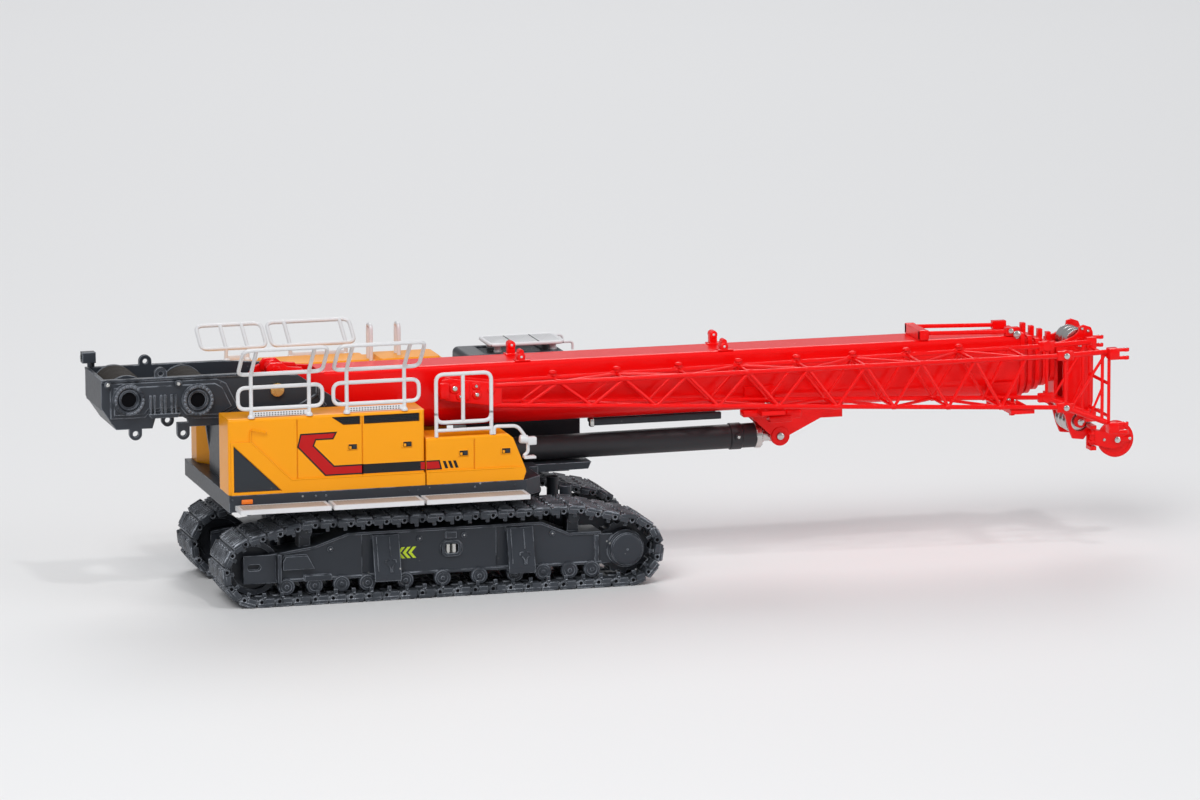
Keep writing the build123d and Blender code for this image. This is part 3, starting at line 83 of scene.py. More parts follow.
# ==== surfaces =================================================================================
# A shape is (points, faces): an (n, 3) array in millimetres and a list of tuples of its rows.
def sheet_of(points, wrap_rows=False, wrap_columns=False, cap_rows=False):
    """Quads over a grid of points(row, column). Wrapping joins the last row or column to the first;
    cap_rows closes the first and last row, each a closed ring, with one face."""
    rows, columns = points.shape[:2]
    index = np.arange(rows * columns).reshape(rows, columns)
    if wrap_rows:
        index = np.concatenate([index, index[:1]])
    if wrap_columns:
        index = np.concatenate([index, index[:, :1]], axis=1)
    quads = np.stack([index[:-1, :-1], index[:-1, 1:], index[1:, 1:], index[1:, :-1]], axis=-1)
    faces = [tuple(quad) for quad in quads.reshape(-1, 4).tolist()]
    if cap_rows:
        faces += [tuple(range(columns))[::-1], tuple(range((rows - 1) * columns, rows * columns))]
    return points.reshape(-1, 3), faces


def join(*shapes):
    """Several shapes as one, their face numbers moved on by the points before them."""
    starts = np.cumsum([0] + [len(points) for points, _ in shapes])
    faces = [tuple(int(start) + corner for corner in face)
             for start, (_, own) in zip(starts, shapes) for face in own]
    return np.concatenate([points for points, _ in shapes]), faces


def copies(shape, matrices, offsets):
    """One shape set down many times: each copy is its points turned by a 3x3 matrix and moved by an offset."""
    points, faces = shape
    placed = np.einsum("nij,pj->npi", matrices, points) + np.asarray(offsets, float)[:, None, :]
    faces = [tuple(corner + k * len(points) for corner in face) for k in range(len(placed)) for face in faces]
    return placed.reshape(-1, 3), faces


def repeated(shape, offsets):
    """One shape set down at each offset, unturned."""
    return copies(shape, np.repeat(np.eye(3)[None], len(offsets), axis=0), offsets)


def frames_along(path, closed):
    """For each point of a path, two unit vectors across it. The first is carried from point to point by
    taking away its part along the new heading, so that it doesn't twist."""
    if closed:
        heading = np.roll(path, -1, axis=0) - np.roll(path, 1, axis=0)
    else:
        heading = np.gradient(path, axis=0)
    heading /= np.linalg.norm(heading, axis=1)[:, None]
    start = np.eye(3)[np.argmin(np.abs(heading[0]))]
    across = np.empty_like(path)
    for k, along in enumerate(heading):
        start = start - along * (start @ along)
        start /= np.linalg.norm(start)
        across[k] = start
    return across, np.cross(heading, across)


def tube(path, radius, sides=10, closed=False):
    """A circle carried along a path: p(s, a) = path(s) + radius * (cos a * across + sin a * other)."""
    path = np.asarray(path, float)
    across, other = frames_along(path, closed)
    angle = np.linspace(0, 2 * pi, sides, endpoint=False)[None, :, None]
    ring = np.cos(angle) * across[:, None] + np.sin(angle) * other[:, None]
    return sheet_of(path[:, None] + radius * ring, wrap_rows=closed, wrap_columns=True, cap_rows=not closed)


def bent(corners, radius, closed=False, steps=5):
    """A path of straight runs whose corners are rounded: each corner is a quadratic curve that starts and
    ends a radius, or at most 0.45 of the shorter run, away from it."""
    corners = [np.asarray(corner, float) for corner in corners]
    share = np.linspace(0, 1, steps)[:, None]
    path = [] if closed else [corners[0]]
    for k in range(0 if closed else 1, len(corners) if closed else len(corners) - 1):
        here = corners[k]
        runs = corners[k - 1] - here, corners[(k + 1) % len(corners)] - here
        lengths = [np.linalg.norm(run) for run in runs]
        cut = min(radius, *(0.45 * length for length in lengths))
        start, end = (here + run / length * cut for run, length in zip(runs, lengths))
        path.extend((1 - share) ** 2 * start + 2 * share * (1 - share) * here + share**2 * end)
    if not closed:
        path.append(corners[-1])
    return np.array(path)


def turned(profile, centre, axis, steps=32, hollow=False):
    """A profile of (distance along the axis, radius) carried round an axis through centre. Its ends are closed,
    or, if hollow, its last point joins its first, which makes a ring."""
    profile, axis = np.asarray(profile, float), np.asarray(axis, float)
    axis = axis / np.linalg.norm(axis)
    side = np.cross(axis, np.eye(3)[np.argmin(np.abs(axis))])
    side /= np.linalg.norm(side)
    angle = np.linspace(0, 2 * pi, steps, endpoint=False)[None, :, None]
    rim = np.cos(angle) * side + np.sin(angle) * np.cross(axis, side)
    points = np.asarray(centre) + profile[:, 0, None, None] * axis + profile[:, 1, None, None] * rim
    return sheet_of(points, wrap_rows=hollow, wrap_columns=True, cap_rows=not hollow)


def ring_of(inner, outer, low, high, centre, axis, steps=32, edge=0.12):
    """A ring: a rectangular section, its outer corners cut off by an edge, turned round an axis."""
    profile = [(low, inner), (low, outer - edge), (low + edge, outer), (high - edge, outer), (high, outer - edge),
               (high, inner + edge), (high - edge, inner)]
    return turned(profile, centre, axis, steps, hollow=True)


def barrel(half, radius, cut, end, centre, axis, steps=20):
    """A round pin, half its length to each side of centre, that narrows to its end radius over a cut."""
    profile = [(-half, end), (cut - half, radius), (half - cut, radius), (half, end)]
    return turned(profile, centre, axis, steps)


def knob(radius, low, high, top, tip, centre, axis, steps=16):
    """A pin's head: straight from low to high, then a cone to its tip radius at top."""
    return turned([(low, radius), (high, radius), (top, tip)], centre, axis, steps)


def bolts(places, direction, radius, height, steps=8):
    """Round-headed bolts on a face: each a short cylinder with a domed end, standing along a direction."""
    return repeated(knob(radius, -0.1, height * 0.55, height, radius * 0.7, ORIGIN, direction, steps), places)


def ring_around(centre, axis, radius, count):
    """Evenly spaced places round any axis."""
    side = np.cross(axis, Y_AXIS)
    side /= np.linalg.norm(side)
    turn = np.arange(count)[:, None] / count * 2 * pi
    return centre + radius * (np.cos(turn) * side + np.sin(turn) * np.cross(axis, side))


# where a prism's u, v and w go as X, Y and Z: drawn in X and Z and carried along Y, and so on
FACING_SIDE, FACING_UP, FACING_END = (0, 2, 1), (0, 1, 2), (2, 0, 1)


def inset(outline, amount):
    """A closed outline moved inwards, each corner along the mean of its two edges' inward normals, so that
    every edge moves by the amount. The outline runs anticlockwise."""
    outline = np.asarray(outline, float)
    edge = np.roll(outline, -1, axis=0) - outline
    edge /= np.linalg.norm(edge, axis=1)[:, None]
    normal = np.stack([-edge[:, 1], edge[:, 0]], axis=1)
    mean = normal + np.roll(normal, 1, axis=0)
    mean /= np.maximum(0.35, np.sum(mean * mean, axis=1) / 2)[:, None]
    return outline + mean * amount


def prism(outline, low, high, place, edge=0.15, soft=True):
    """An outline in (u, v) carried along w from low to high, its rims rounded by a small inset, or only
    bevelled if not soft. place is the order in which u, v and w become X, Y and Z."""
    outline = np.asarray(outline, float)
    area = np.sum(outline[:, 0] * np.roll(outline[:, 1], -1) - np.roll(outline[:, 0], -1) * outline[:, 1])
    if area < 0:
        outline = outline[::-1]
    edge = min(edge, (high - low) * 0.49)
    levels = [(edge, low), (edge * 0.3, low + edge * 0.3), (0, low + edge), (0, high - edge),
              (edge * 0.3, high - edge * 0.3), (edge, high)]
    if not soft:
        levels = levels[::5] if edge < 0.03 else [levels[0], levels[2], levels[3], levels[5]]
    rows = np.array([np.insert(inset(outline, amount), 2, level, axis=1) for amount, level in levels])
    return sheet_of(rows[..., list(place)], wrap_columns=True, cap_rows=True)


def span(side, near, far):
    """The stretch of Y between two distances from the middle, on one side of the model."""
    return sorted((side * near, side * far))


def side_plate(outline, side, near, far, edge, soft=True):
    """An outline in X and Z as a plate on one side of the model, between two distances from the middle."""
    return prism(outline, *span(side, near, far), FACING_SIDE, edge, soft)


def rectangle(u0, u1, v0, v1):
    """The corners of a rectangle, anticlockwise."""
    return (u0, v0), (u1, v0), (u1, v1), (u0, v1)


def oblong(u_range, v_range, corner, steps=4):
    """A rectangle outline, anticlockwise, with a quarter circle at each corner."""
    (u0, u1), (v0, v1) = u_range, v_range
    corner = min(corner, (u1 - u0) * 0.49, (v1 - v0) * 0.49)
    turn = np.linspace(0, pi / 2, steps)
    spots = ((u1 - corner, v1 - corner, 0), (u0 + corner, v1 - corner, 1),
             (u0 + corner, v0 + corner, 2), (u1 - corner, v0 + corner, 3))
    return np.concatenate([np.stack([u + corner * np.cos(turn + q * pi / 2),
                                     v + corner * np.sin(turn + q * pi / 2)], axis=1) for u, v, q in spots])


def block(x_range, y_range, z_range, edge=0.2):
    """A box with round upright corners and softened rims: an oblong in X and Y carried along Z."""
    return prism(oblong(x_range, y_range, edge), *z_range, FACING_UP, edge)


def around(x, reach):
    """The stretch from a reach below x to a reach above it."""
    return x - reach, x + reach


def put(name, body, slot, replaces=(), **shapes):
    """Makes one piece, in metres, riding on a CAD body. Each material's name comes with its list of shapes.
    Points that lie together become one, so poles and seams are closed."""
    joined = [join(*group) for group in shapes.values()]
    points, faces = join(*joined)
    mesh = bpy.data.meshes.new(name)
    mesh.from_pydata((points * MM).tolist(), [], faces)
    for material in shapes:
        mesh.materials.append(bpy.data.materials[material])
    numbers = np.repeat(np.arange(len(joined)), [len(own) for _, own in joined])
    mesh.polygons.foreach_set("material_index", numbers.astype(np.int32))
    surface = bmesh.new()
    surface.from_mesh(mesh)
    bmesh.ops.remove_doubles(surface, verts=surface.verts, dist=1e-7)
    bmesh.ops.recalc_face_normals(surface, faces=surface.faces)
    surface.to_mesh(mesh)
    surface.free()
    mesh.shade_smooth()
    mesh.set_sharp_from_angle(angle=SHARP_ANGLE)
    piece = bpy.data.objects.new(name, mesh)
    bpy.context.scene.collection.objects.link(piece)
    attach(piece, body)
    if replaces:
        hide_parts(*replaces)


# ==== shader groups ============================================================================
class Nodes:
    """Adds nodes to a tree."""

    def __init__(self, tree):
        self.tree = tree

    def give(self, inputs, values):
        """Fills input sockets: a key such as _2 is a socket's number, any other its name. A value that is a
        socket is linked, any other is a plain value."""
        for key, value in values.items():
            target = inputs[int(key[1:])] if key[0] == "_" else inputs[key.replace("_", " ")]
            if isinstance(value, bpy.types.NodeSocket):
                self.tree.links.new(value, target)
            else:
                target.default_value = value

    def add(self, kind, properties=(), **values):
        node = self.tree.nodes.new(f"ShaderNode{kind}")
        for key, value in dict(properties).items():
            setattr(node, key, value)
        self.give(node.inputs, values)
        return node.outputs

    def group(self, name, **values):
        """Places a shader group with its own values."""
        return self.add("Group", {"node_tree": bpy.data.node_groups[name]}, **values)

    def where(self):
        return self.add("TexCoord")["Object"]

    def noise(self, where, scale, detail):
        return self.add("TexNoise", _0=where, Scale=scale, Detail=detail)[0]

    def math(self, operation, one, two):
        return self.add("Math", {"operation": operation}, _0=one, _1=two)[0]

    def times(self, one, two):
        return self.math("MULTIPLY", one, two)

    def ramp(self, value, low, high):
        """0 at low, 1 at high, smooth between."""
        return self.add("MapRange", {"interpolation_type": "SMOOTHSTEP"}, _0=value, _1=low, _2=high)[0]

    def mix(self, factor, one, two):
        return self.add("Mix", {"data_type": "RGBA"}, _0=factor, _6=one, _7=two)[2]


def new_group(name, inputs, outputs):
    """An empty shader group with its sockets: inputs are (kind, name, default), outputs (kind, name)."""
    group = bpy.data.node_groups.new(name, "ShaderNodeTree")
    for kind, label, default in inputs:
        socket = group.interface.new_socket(label, in_out="INPUT", socket_type=f"NodeSocket{kind}")
        socket.default_value = default
    for kind, label in outputs:
        group.interface.new_socket(label, in_out="OUTPUT", socket_type=f"NodeSocket{kind}")
    given, result = (group.nodes.new(kind) for kind in ("NodeGroupInput", "NodeGroupOutput"))
    return Nodes(group), given.outputs, result.inputs


def build_groups():
    """The effects that several finishes share."""
    # rounded edges: the Bevel node's normal, and a mask of where it leaves the flat face's normal
    nodes, given, result = new_group("soft_edges", [("Float", "Radius", 0.0002)],
                                     [("Vector", "Normal"), ("Float", "Edge")])
    bevel = nodes.add("Bevel", {"samples": 6}, Radius=given["Radius"])[0]
    turn = nodes.add("VectorMath", {"operation": "DOT_PRODUCT"}, _0=bevel, _1=nodes.add("NewGeometry")["Normal"])
    nodes.give(result, {"Normal": bevel, "Edge": nodes.ramp(turn["Value"], 0.99, 0.88)})

    # painted skin: slow change of tone, a fine ripple in the lacquer, and a grain in it
    nodes, given, result = new_group("paint_skin", [("Color", "Colour", (1, 1, 1, 1)), ("Float", "Tone", 0.05),
                                                    ("Float", "Ripple", 0.1), ("Float", "Roughness", 0.3),
                                                    ("Vector", "Normal", (0, 0, 0))],
                                     [("Color", "Colour"), ("Float", "Roughness"), ("Vector", "Normal")])
    where = nodes.where()
    slow, fine, grain = (nodes.noise(where, *noise) for noise in ((38.0, 3.0), (900.0, 2.0), (4200.0, 1.0)))
    tone = nodes.times(nodes.math("SUBTRACT", slow, 0.5), given["Tone"])
    value = nodes.math("ADD", 1.0, nodes.times(tone, 2.0))
    colour = nodes.add("HueSaturation", Color=given["Colour"], Value=value)
    rough = nodes.math("ADD", given["Roughness"], nodes.times(nodes.math("SUBTRACT", fine, 0.5), 0.12))
    bump = nodes.add("Bump", Strength=given["Ripple"], Distance=0.00006, Normal=given["Normal"],
                     Height=nodes.math("ADD", fine, nodes.times(grain, 0.25)))
    nodes.give(result, {"Colour": colour[0], "Roughness": rough, "Normal": bump[0]})

    # settled dust: pale specks and a faint film, mostly on what faces up
    nodes, given, result = new_group("settled_dust", [("Float", "Specks", 0.5), ("Float", "Film", 0.1)],
                                     [("Float", "Dust")])
    where = nodes.where()
    cells = nodes.add("TexVoronoi", {"feature": "F1"}, Vector=where, Scale=420.0)
    chosen = nodes.ramp(nodes.noise(where, 170.0, 1.0), 0.60, 0.68)
    speck = nodes.times(nodes.ramp(cells["Distance"], 0.16, 0.08), chosen)
    upward = nodes.ramp(nodes.add("SeparateXYZ", _0=nodes.add("NewGeometry")["Normal"])["Z"], 0.2, 0.9)
    film = nodes.times(nodes.noise(where, 90.0, 5.0), upward)
    nodes.give(result, {"Dust": nodes.math("MAXIMUM", nodes.times(speck, given["Specks"]),
                                           nodes.times(film, given["Film"]))})


def rgba(colour):
    return (*colour, 1.0)


# ==== finishes =================================================================================
DUST_COLOUR, SMEAR_COLOUR = (0.55, 0.54, 0.52), (0.16, 0.18, 0.20)


def new_material(name):
    """A new material, its nodes and its principled shader."""
    material = bpy.data.materials.new(name)
    material.use_nodes = True
    return material, Nodes(material.node_tree), material.node_tree.nodes["Principled BSDF"]


def finish(name, colour, rough, metal=0.0, coat=0.0, tone=0.05, ripple=0.08, edge=0.18, edge_wear_and_highlight=None,
           edge_wear_and_highlight_share=0.0, specks=0.1, film=0.0, gloss=0.5):
    """A painted, cast or plated finish: skin, softened edges, a lighter colour along the edges and a little dust.
    Edge is the edges' radius in millimetres; the edge colour, where given, is partly paint wear and partly a
    painted highlight."""
    _, nodes, shader = new_material(name)
    edges = nodes.group("soft_edges", Radius=edge * MM)
    skin = nodes.group("paint_skin", Colour=rgba(colour), Tone=tone, Ripple=ripple, Roughness=rough,
                       Normal=edges["Normal"])
    dust = nodes.group("settled_dust", Specks=specks, Film=film)["Dust"]
    # a lighter colour along the edges, broken up by noise: partly paint wear, partly a painted highlight where
    # edges catch the light
    edge_wear_and_highlight_mask = nodes.times(nodes.ramp(nodes.noise(nodes.where(), 260.0, 4.0), 0.36, 0.54), edges["Edge"])
    painted = nodes.mix(nodes.times(edge_wear_and_highlight_mask, edge_wear_and_highlight_share), skin["Colour"], rgba(edge_wear_and_highlight or colour))
    nodes.give(shader.inputs, {
        "Base Color": nodes.mix(dust, painted, rgba(DUST_COLOUR)), "Normal": skin["Normal"],
        "Roughness": nodes.math("ADD", skin["Roughness"], nodes.times(dust, 0.5)),
        "Metallic": metal, "Coat Weight": coat, "Coat Roughness": 0.08, "Specular IOR Level": gloss})


def smoked_glass(name, colour, alpha):
    """Smoked clear plastic: dark, glossy, and partly see-through."""
    _, nodes, shader = new_material(name)
    smear = nodes.noise(nodes.where(), 60.0, 4.0)
    nodes.give(shader.inputs, {
        "Base Color": nodes.mix(nodes.times(smear, 0.10), rgba(colour), rgba(SMEAR_COLOUR)),
        "Roughness": nodes.math("ADD", 0.08, nodes.times(smear, 0.05)), "Alpha": alpha, "Specular IOR Level": 0.6})


class CraneColours(bpy.types.PropertyGroup):
    """The colours of the model's paints and platings."""
    red: bpy.props.FloatVectorProperty(name="Boom red", description="Paint of boom, jib and head",
                                       default=(0.90, 0.003, 0.003), size=3, subtype="COLOR", min=0, max=1)
    yellow: bpy.props.FloatVectorProperty(name="Hood yellow", description="Paint of the engine hoods",
                                          default=(0.93, 0.35, 0.002), size=3, subtype="COLOR", min=0, max=1)
    dark: bpy.props.FloatVectorProperty(name="Chassis grey", description="Paint of chassis, winch frame and cab",
                                        default=(0.028, 0.033, 0.042), size=3, subtype="COLOR", min=0, max=1)
    silver: bpy.props.FloatVectorProperty(name="Rail silver", description="Paint of rails and walkways",
                                          default=(0.72, 0.72, 0.73), size=3, subtype="COLOR", min=0, max=1)
    gold: bpy.props.FloatVectorProperty(name="Foot pin gold", description="Plating of the boom foot pin",
                                        default=(0.78, 0.52, 0.20), size=3, subtype="COLOR", min=0, max=1)


def make_materials(colours):
    """Every finish of the model: its name, colour and roughness, and where it differs from the usual."""
    build_groups()
    finish("boom_red", colours.red, 0.24, tone=0.03, specks=0.02, edge=0.3, gloss=0.25)
    finish("hood_yellow", colours.yellow, 0.32, ripple=0.06, tone=0.03, specks=0.02, edge=0.3, gloss=0.28)
    # the lighter edge colour of the dark paints and the shoes is partly paint wear and partly a painted highlight
    # on their edges
    finish("chassis_grey", colours.dark, 0.42, coat=0.10, ripple=0.22, tone=0.12, edge=0.42,
           edge_wear_and_highlight=(0.34, 0.37, 0.42), edge_wear_and_highlight_share=0.75, specks=0.55, film=0.01, gloss=0.3)
    finish("deck_grey", [part * 1.25 for part in colours.dark], 0.45, ripple=0.22, tone=0.12, edge=0.4,
           edge_wear_and_highlight=(0.30, 0.33, 0.37), edge_wear_and_highlight_share=0.6, specks=0.4, film=0.02, gloss=0.3)
    finish("shoe_metal", (0.046, 0.053, 0.064), 0.38, metal=0.35, ripple=0.45, tone=0.25, edge=0.36,
           edge_wear_and_highlight=(0.42, 0.45, 0.50), edge_wear_and_highlight_share=0.9, specks=0.7, film=0.03)
    finish("rail_silver", colours.silver, 0.34, metal=0.05, ripple=0.18, tone=0.06, edge=0.1, specks=0.05)
    finish("guard_mesh", (0.60, 0.60, 0.61), 0.5, metal=0.2, ripple=0.6, tone=0.1)
    finish("panel_grey", (0.026, 0.031, 0.038), 0.38, film=0.01, gloss=0.3)
    finish("black_gloss", (0.010, 0.011, 0.013), 0.16, coat=0.8, ripple=0.16, specks=0.15, film=0.01)
    finish("plated_steel", (0.62, 0.62, 0.60), 0.24, metal=1.0, ripple=0.12, tone=0.10, specks=0.05)
    finish("gold_pin", colours.gold, 0.28, metal=1.0, ripple=0.2, tone=0.15)
    finish("chevron_lime", (0.56, 0.72, 0.02), 0.34, edge=0.05, film=0.01)
    finish("marker_amber", (0.95, 0.20, 0.01), 0.22, coat=0.7, ripple=0.05, edge=0.12, film=0.01)
    for name, colour in (("stripe_red", (0.50, 0.002, 0.003)), ("stripe_black", (0.009, 0.009, 0.011))):
        finish(name, colour, 0.30, coat=0.1, edge=0.02, specks=0.05, gloss=0.25)
    # pin_shadow: near-black, painted shade set into holes where only shade is seen
    finish("pin_shadow", (0.004, 0.004, 0.005), 0.8, ripple=0.1, edge=0.05, gloss=0.05)
    finish("tread_tan", (0.42, 0.335, 0.275), 0.60, ripple=0.5, tone=0.35, edge=0.1,
           edge_wear_and_highlight=(0.62, 0.58, 0.54), edge_wear_and_highlight_share=0.6, specks=0.35, film=0.12)
    finish("rope_brown", (0.034, 0.030, 0.027), 0.62, ripple=0.8, tone=0.3, edge=0.1,
           edge_wear_and_highlight=(0.14, 0.12, 0.10), edge_wear_and_highlight_share=0.5, specks=0.15, film=0.01, gloss=0.2)
    finish("seat_black", (0.022, 0.022, 0.024), 0.65, ripple=0.5, tone=0.1, film=0.05)
    smoked_glass("cab_glass", (0.020, 0.023, 0.027), 0.62)


FINISH_OF_SLOT = {"dark_paint": "chassis_grey", "track_metal": "shoe_metal", "yellow_paint": "hood_yellow",
                  "red_paint": "boom_red", "silver_paint": "rail_silver", "black_gloss": "black_gloss",
                  "bare_steel": "plated_steel", "brass_pin": "gold_pin", "cab_glass": "cab_glass",
                  "seat_plastic": "seat_black"}


class CRANE_OT_finishes(bpy.types.Operator):
    """Make every finish and give each CAD node the one that its slot names"""
    bl_idname = "crane.finishes"
    bl_label = "Finishes"

    def execute(self, context):
        make_materials(context.scene.crane_colours)
        slots = {part["node"]: part["material_slot"] for part in frame["record"]["subparts"]}
        for node, piece in frame["nodes"].items():
            piece.data.materials.clear()
            piece.data.materials.append(None)
            piece.material_slots[0].link = "OBJECT"
            piece.material_slots[0].material = bpy.data.materials[FINISH_OF_SLOT[slots[node]]]
        return {"FINISHED"}


# ==== crawlers =================================================================================
CARRIER_X, CARRIER_TOP = 38.6, 24.0       # outside of the chain over its carrier rollers
RIBS = 11                                 # on each shoe
ROLLER_X, ROLLER_Z = (-44.5, -36.5, -28.8, -21.4, -10.5, 0.2, 10.8, 21.2, 29.2, 36.9, 43.4), 4.85
TRACK_MIDDLE, TRACK_FACE = 21.0, 25.6     # a crawler's middle and its frame's outer face, both from y = 0
BOSS = ((-0.1, 0.85), (0.35, 0.8), (0.45, 0.6))         # like the rims and caps below: outwards, and radius
FRAME_BOSSES = ((-31.8, 14.8), (-6.2, 16.4), (6.6, 16.6), (32.1, 15.6))
FRAME_BOLTS = ((-55.9, 6.9), (-48.3, 13.3), (44.9, 7.0), (44.9, 14.6), (43.2, 6.9))
STEP_X = (-15.1, 23.5)
# each bead on a step: its line in X and Z, and its radius
STEP_LINES = ((((0, 17.4), (0, 12.2)), 0.2), (((-1.5, 10.4), (-1.5, 11.2), (-0.5, 11.2)), 0.2),
              (((1.5, 10.4), (1.5, 11.2), (0.5, 11.2)), 0.2), (((-0.9, 10.0), (-0.2, 9.2), (-0.2, 7.9)), 0.2),
              (((0.9, 10.0), (0.3, 9.2), (0.3, 7.9)), 0.2), (((-3.7, 17.6), (-3.7, 8.3)), 0.16))
CHEVRON = ((0, 12.5), (1.35, 14.1), (2.3, 14.1), (0.95, 12.5), (2.3, 10.9), (1.35, 10.9))
ROLLER_RIM = ((4.2, 1.6), (4.2, 2.42), (5.2, 2.42), (5.55, 2.1), (5.55, 1.4), (5.3, 1.3), (5.3, 0.8), (5.75, 0.6))
DRIVE_COVER = ((0, 4.72), (1.0, 4.72), (1.1, 4.55), (1.7, 4.55), (1.8, 4.38), (2.25, 4.34), (2.4, 4.1), (2.5, 3.2),
               (2.55, 0.3), (2.45, 0.16))


class CraneTrack(bpy.types.PropertyGroup):
    """Sizes of the crawler chains."""
    shoes: bpy.props.IntProperty(name="Shoes", description="Shoes round one crawler", default=53, min=20)
    depth: bpy.props.FloatProperty(name="Shoe depth", description="Outside of a shoe to the inside of its link",
                                   default=2.6 * MM, unit="LENGTH", precision=4)
    plate: bpy.props.FloatProperty(name="Shoe plate", description="Thickness of a shoe's plate", default=1.15 * MM,
                                   unit="LENGTH", precision=4)
    pin: bpy.props.FloatProperty(name="Link pin", description="Radius of a link pin's hole", default=0.52 * MM,
                                 unit="LENGTH", precision=4)


def round_chain(depth, count):
    """Places and headings of evenly spaced shoes. The line is an arc round the front wheel, up to where the
    rising run is tangent to it, the run to the carrier roller, the same mirrored, and the run along the floor."""
    wheel_x, _, wheel_z = np.mean(cad_box("sprocket_right"), axis=0)
    radius, top = wheel_z - depth, CARRIER_TOP - depth
    rise, run = top - wheel_z, wheel_x - CARRIER_X
    reach = np.hypot(rise, run)
    tangent = np.arctan2(rise, -run) - np.arctan2(np.sqrt(reach**2 - radius**2), radius)
    turn = np.linspace(-pi / 2, tangent, 60)
    arc = np.stack([wheel_x + radius * np.cos(turn), wheel_z + radius * np.sin(turn)], axis=1)
    front = np.concatenate([arc, [[CARRIER_X, top]]])
    line = np.concatenate([front, front[::-1] * (-1, 1), front[:1]])
    along = np.concatenate([[0], np.cumsum(np.linalg.norm(np.diff(line, axis=0), axis=1))])
    middle = (np.arange(count) + 0.5) / count * along[-1]

    def spots(places):
        return np.stack([np.interp(places, along, line[:, k], period=along[-1]) for k in (0, 1)], axis=1)
    heading = spots(middle + 1.5) - spots(middle - 1.5)
    heading /= np.linalg.norm(heading, axis=1)[:, None]
    return spots(middle), heading, along[-1] / count


def upright(flat, y=0.0):
    """Rows of X and Z with a Y put between them."""
    return np.insert(flat, 1, y, axis=1)


class CRANE_OT_track_shoes(bpy.types.Operator):
    """Make the two crawler chains, shoe by shoe"""
    bl_idname = "crane.track_shoes"
    bl_label = "Track shoes"

    def execute(self, context):
        settings = context.scene.crane_track
        depth, plate, pin = settings.depth / MM, settings.plate / MM, settings.pin / MM
        centre, heading, pitch = round_chain(depth / 2, settings.shoes)
        outward = np.stack([heading[:, 1], -heading[:, 0]], axis=1)
        axes = np.stack([upright(heading), np.tile((0.0, 1.0, 0.0), (len(centre), 1)), upright(outward)], axis=2)
        for side, name in SIDES:
            low, high = cad_box(f"track_loop_{name}")
            metal, hole_shades = self.shoe(pitch, depth, plate, pin, (high[1] - low[1]) / 2)
            metal.append(block(around(0, 0.55), span(side, 5.9, 6.8), (-depth / 2 - 1.2, -depth / 2 + 0.4), 0.15))
            chain = [[copies(join(*shapes), axes, upright(centre, (low[1] + high[1]) / 2))]
                     for shapes in (metal, hole_shades)]
            put(f"track_shoes_{name}", f"track_{name}", "track_metal", (f"track_loop_{name}",),
                shoe_metal=chain[0], pin_shadow=chain[1])
        return {"FINISHED"}

    def shoe(self, pitch, depth, plate, pin, half):
        """One shoe about the middle of its depth: a ribbed plate whose fingers reach the next shoe, a block and a
        round eye at each end, and a link under the middle; and apart, a near-black disc in each pin's hole,
        painted shade for its depth."""
        top = depth / 2
        front, rear = 0.47 * pitch, -0.47 * pitch
        metal = [block((rear * 0.9, front * 0.93), (-half, half), (top - plate, top - 0.45), 0.12)]
        # ribs across the plate: long ones and, between them, ones moved forward
        for k, y in enumerate(np.linspace(-half + 0.7, half - 0.7, RIBS)):
            shift = 0.06 * pitch if k % 2 else -0.06 * pitch
            rib = [(rear * 0.86 + shift, top - 0.6), (front * 0.86 + shift, top - 0.6),
                   (front * 0.74 + shift, top), (rear * 0.74 + shift, top)]
            metal.append(prism(rib, *around(y, 0.48), FACING_SIDE, 0.12, soft=False))
        metal.append(block(around(0, 0.5 * pitch), (-half + 0.5, half - 0.5), (-0.7, 0.55), 0.1))
        eye, hole_shades = (-0.23 * pitch, 0, -0.28), []
        for end in (-1, 1):
            hole = (eye[0], end * (half - 0.35), eye[2]), (0, end, 0)
            metal.append(block((-0.02 * pitch, front), span(end, half - 0.05, half - 3.45),
                               (-top + 0.08, top - 0.3), 0.18))
            low, high = span(end, half - 0.35, half - 3.4)
            rim = [(low, 0.85), (low + 0.12, 1.0), (high - 0.12, 1.0), (high, 0.85)]
            metal.append(turned(rim, eye, Y_AXIS, 12))
            metal.append(ring_of(pin, pin + 0.32, -0.1, 0.2, *hole, 12, 0.08))
            # a near-black disc just inside the pin's ring: painted shade where the hole is deep
            hole_shades.append(turned([(-0.05, pin + 0.02), (0.06, pin + 0.02)], *hole, 10))
        metal.append(block(around(0, 0.34 * pitch), (-2.4, 2.4), (-top + 0.25, top - plate + 0.1), 0.2))
        return metal, hole_shades


def step_reach(z):
    """How far a step's sloping plate stands out from the track frame's face at a height."""
    return min(3.6, 3.35 - 0.283 * (z - 9.0))


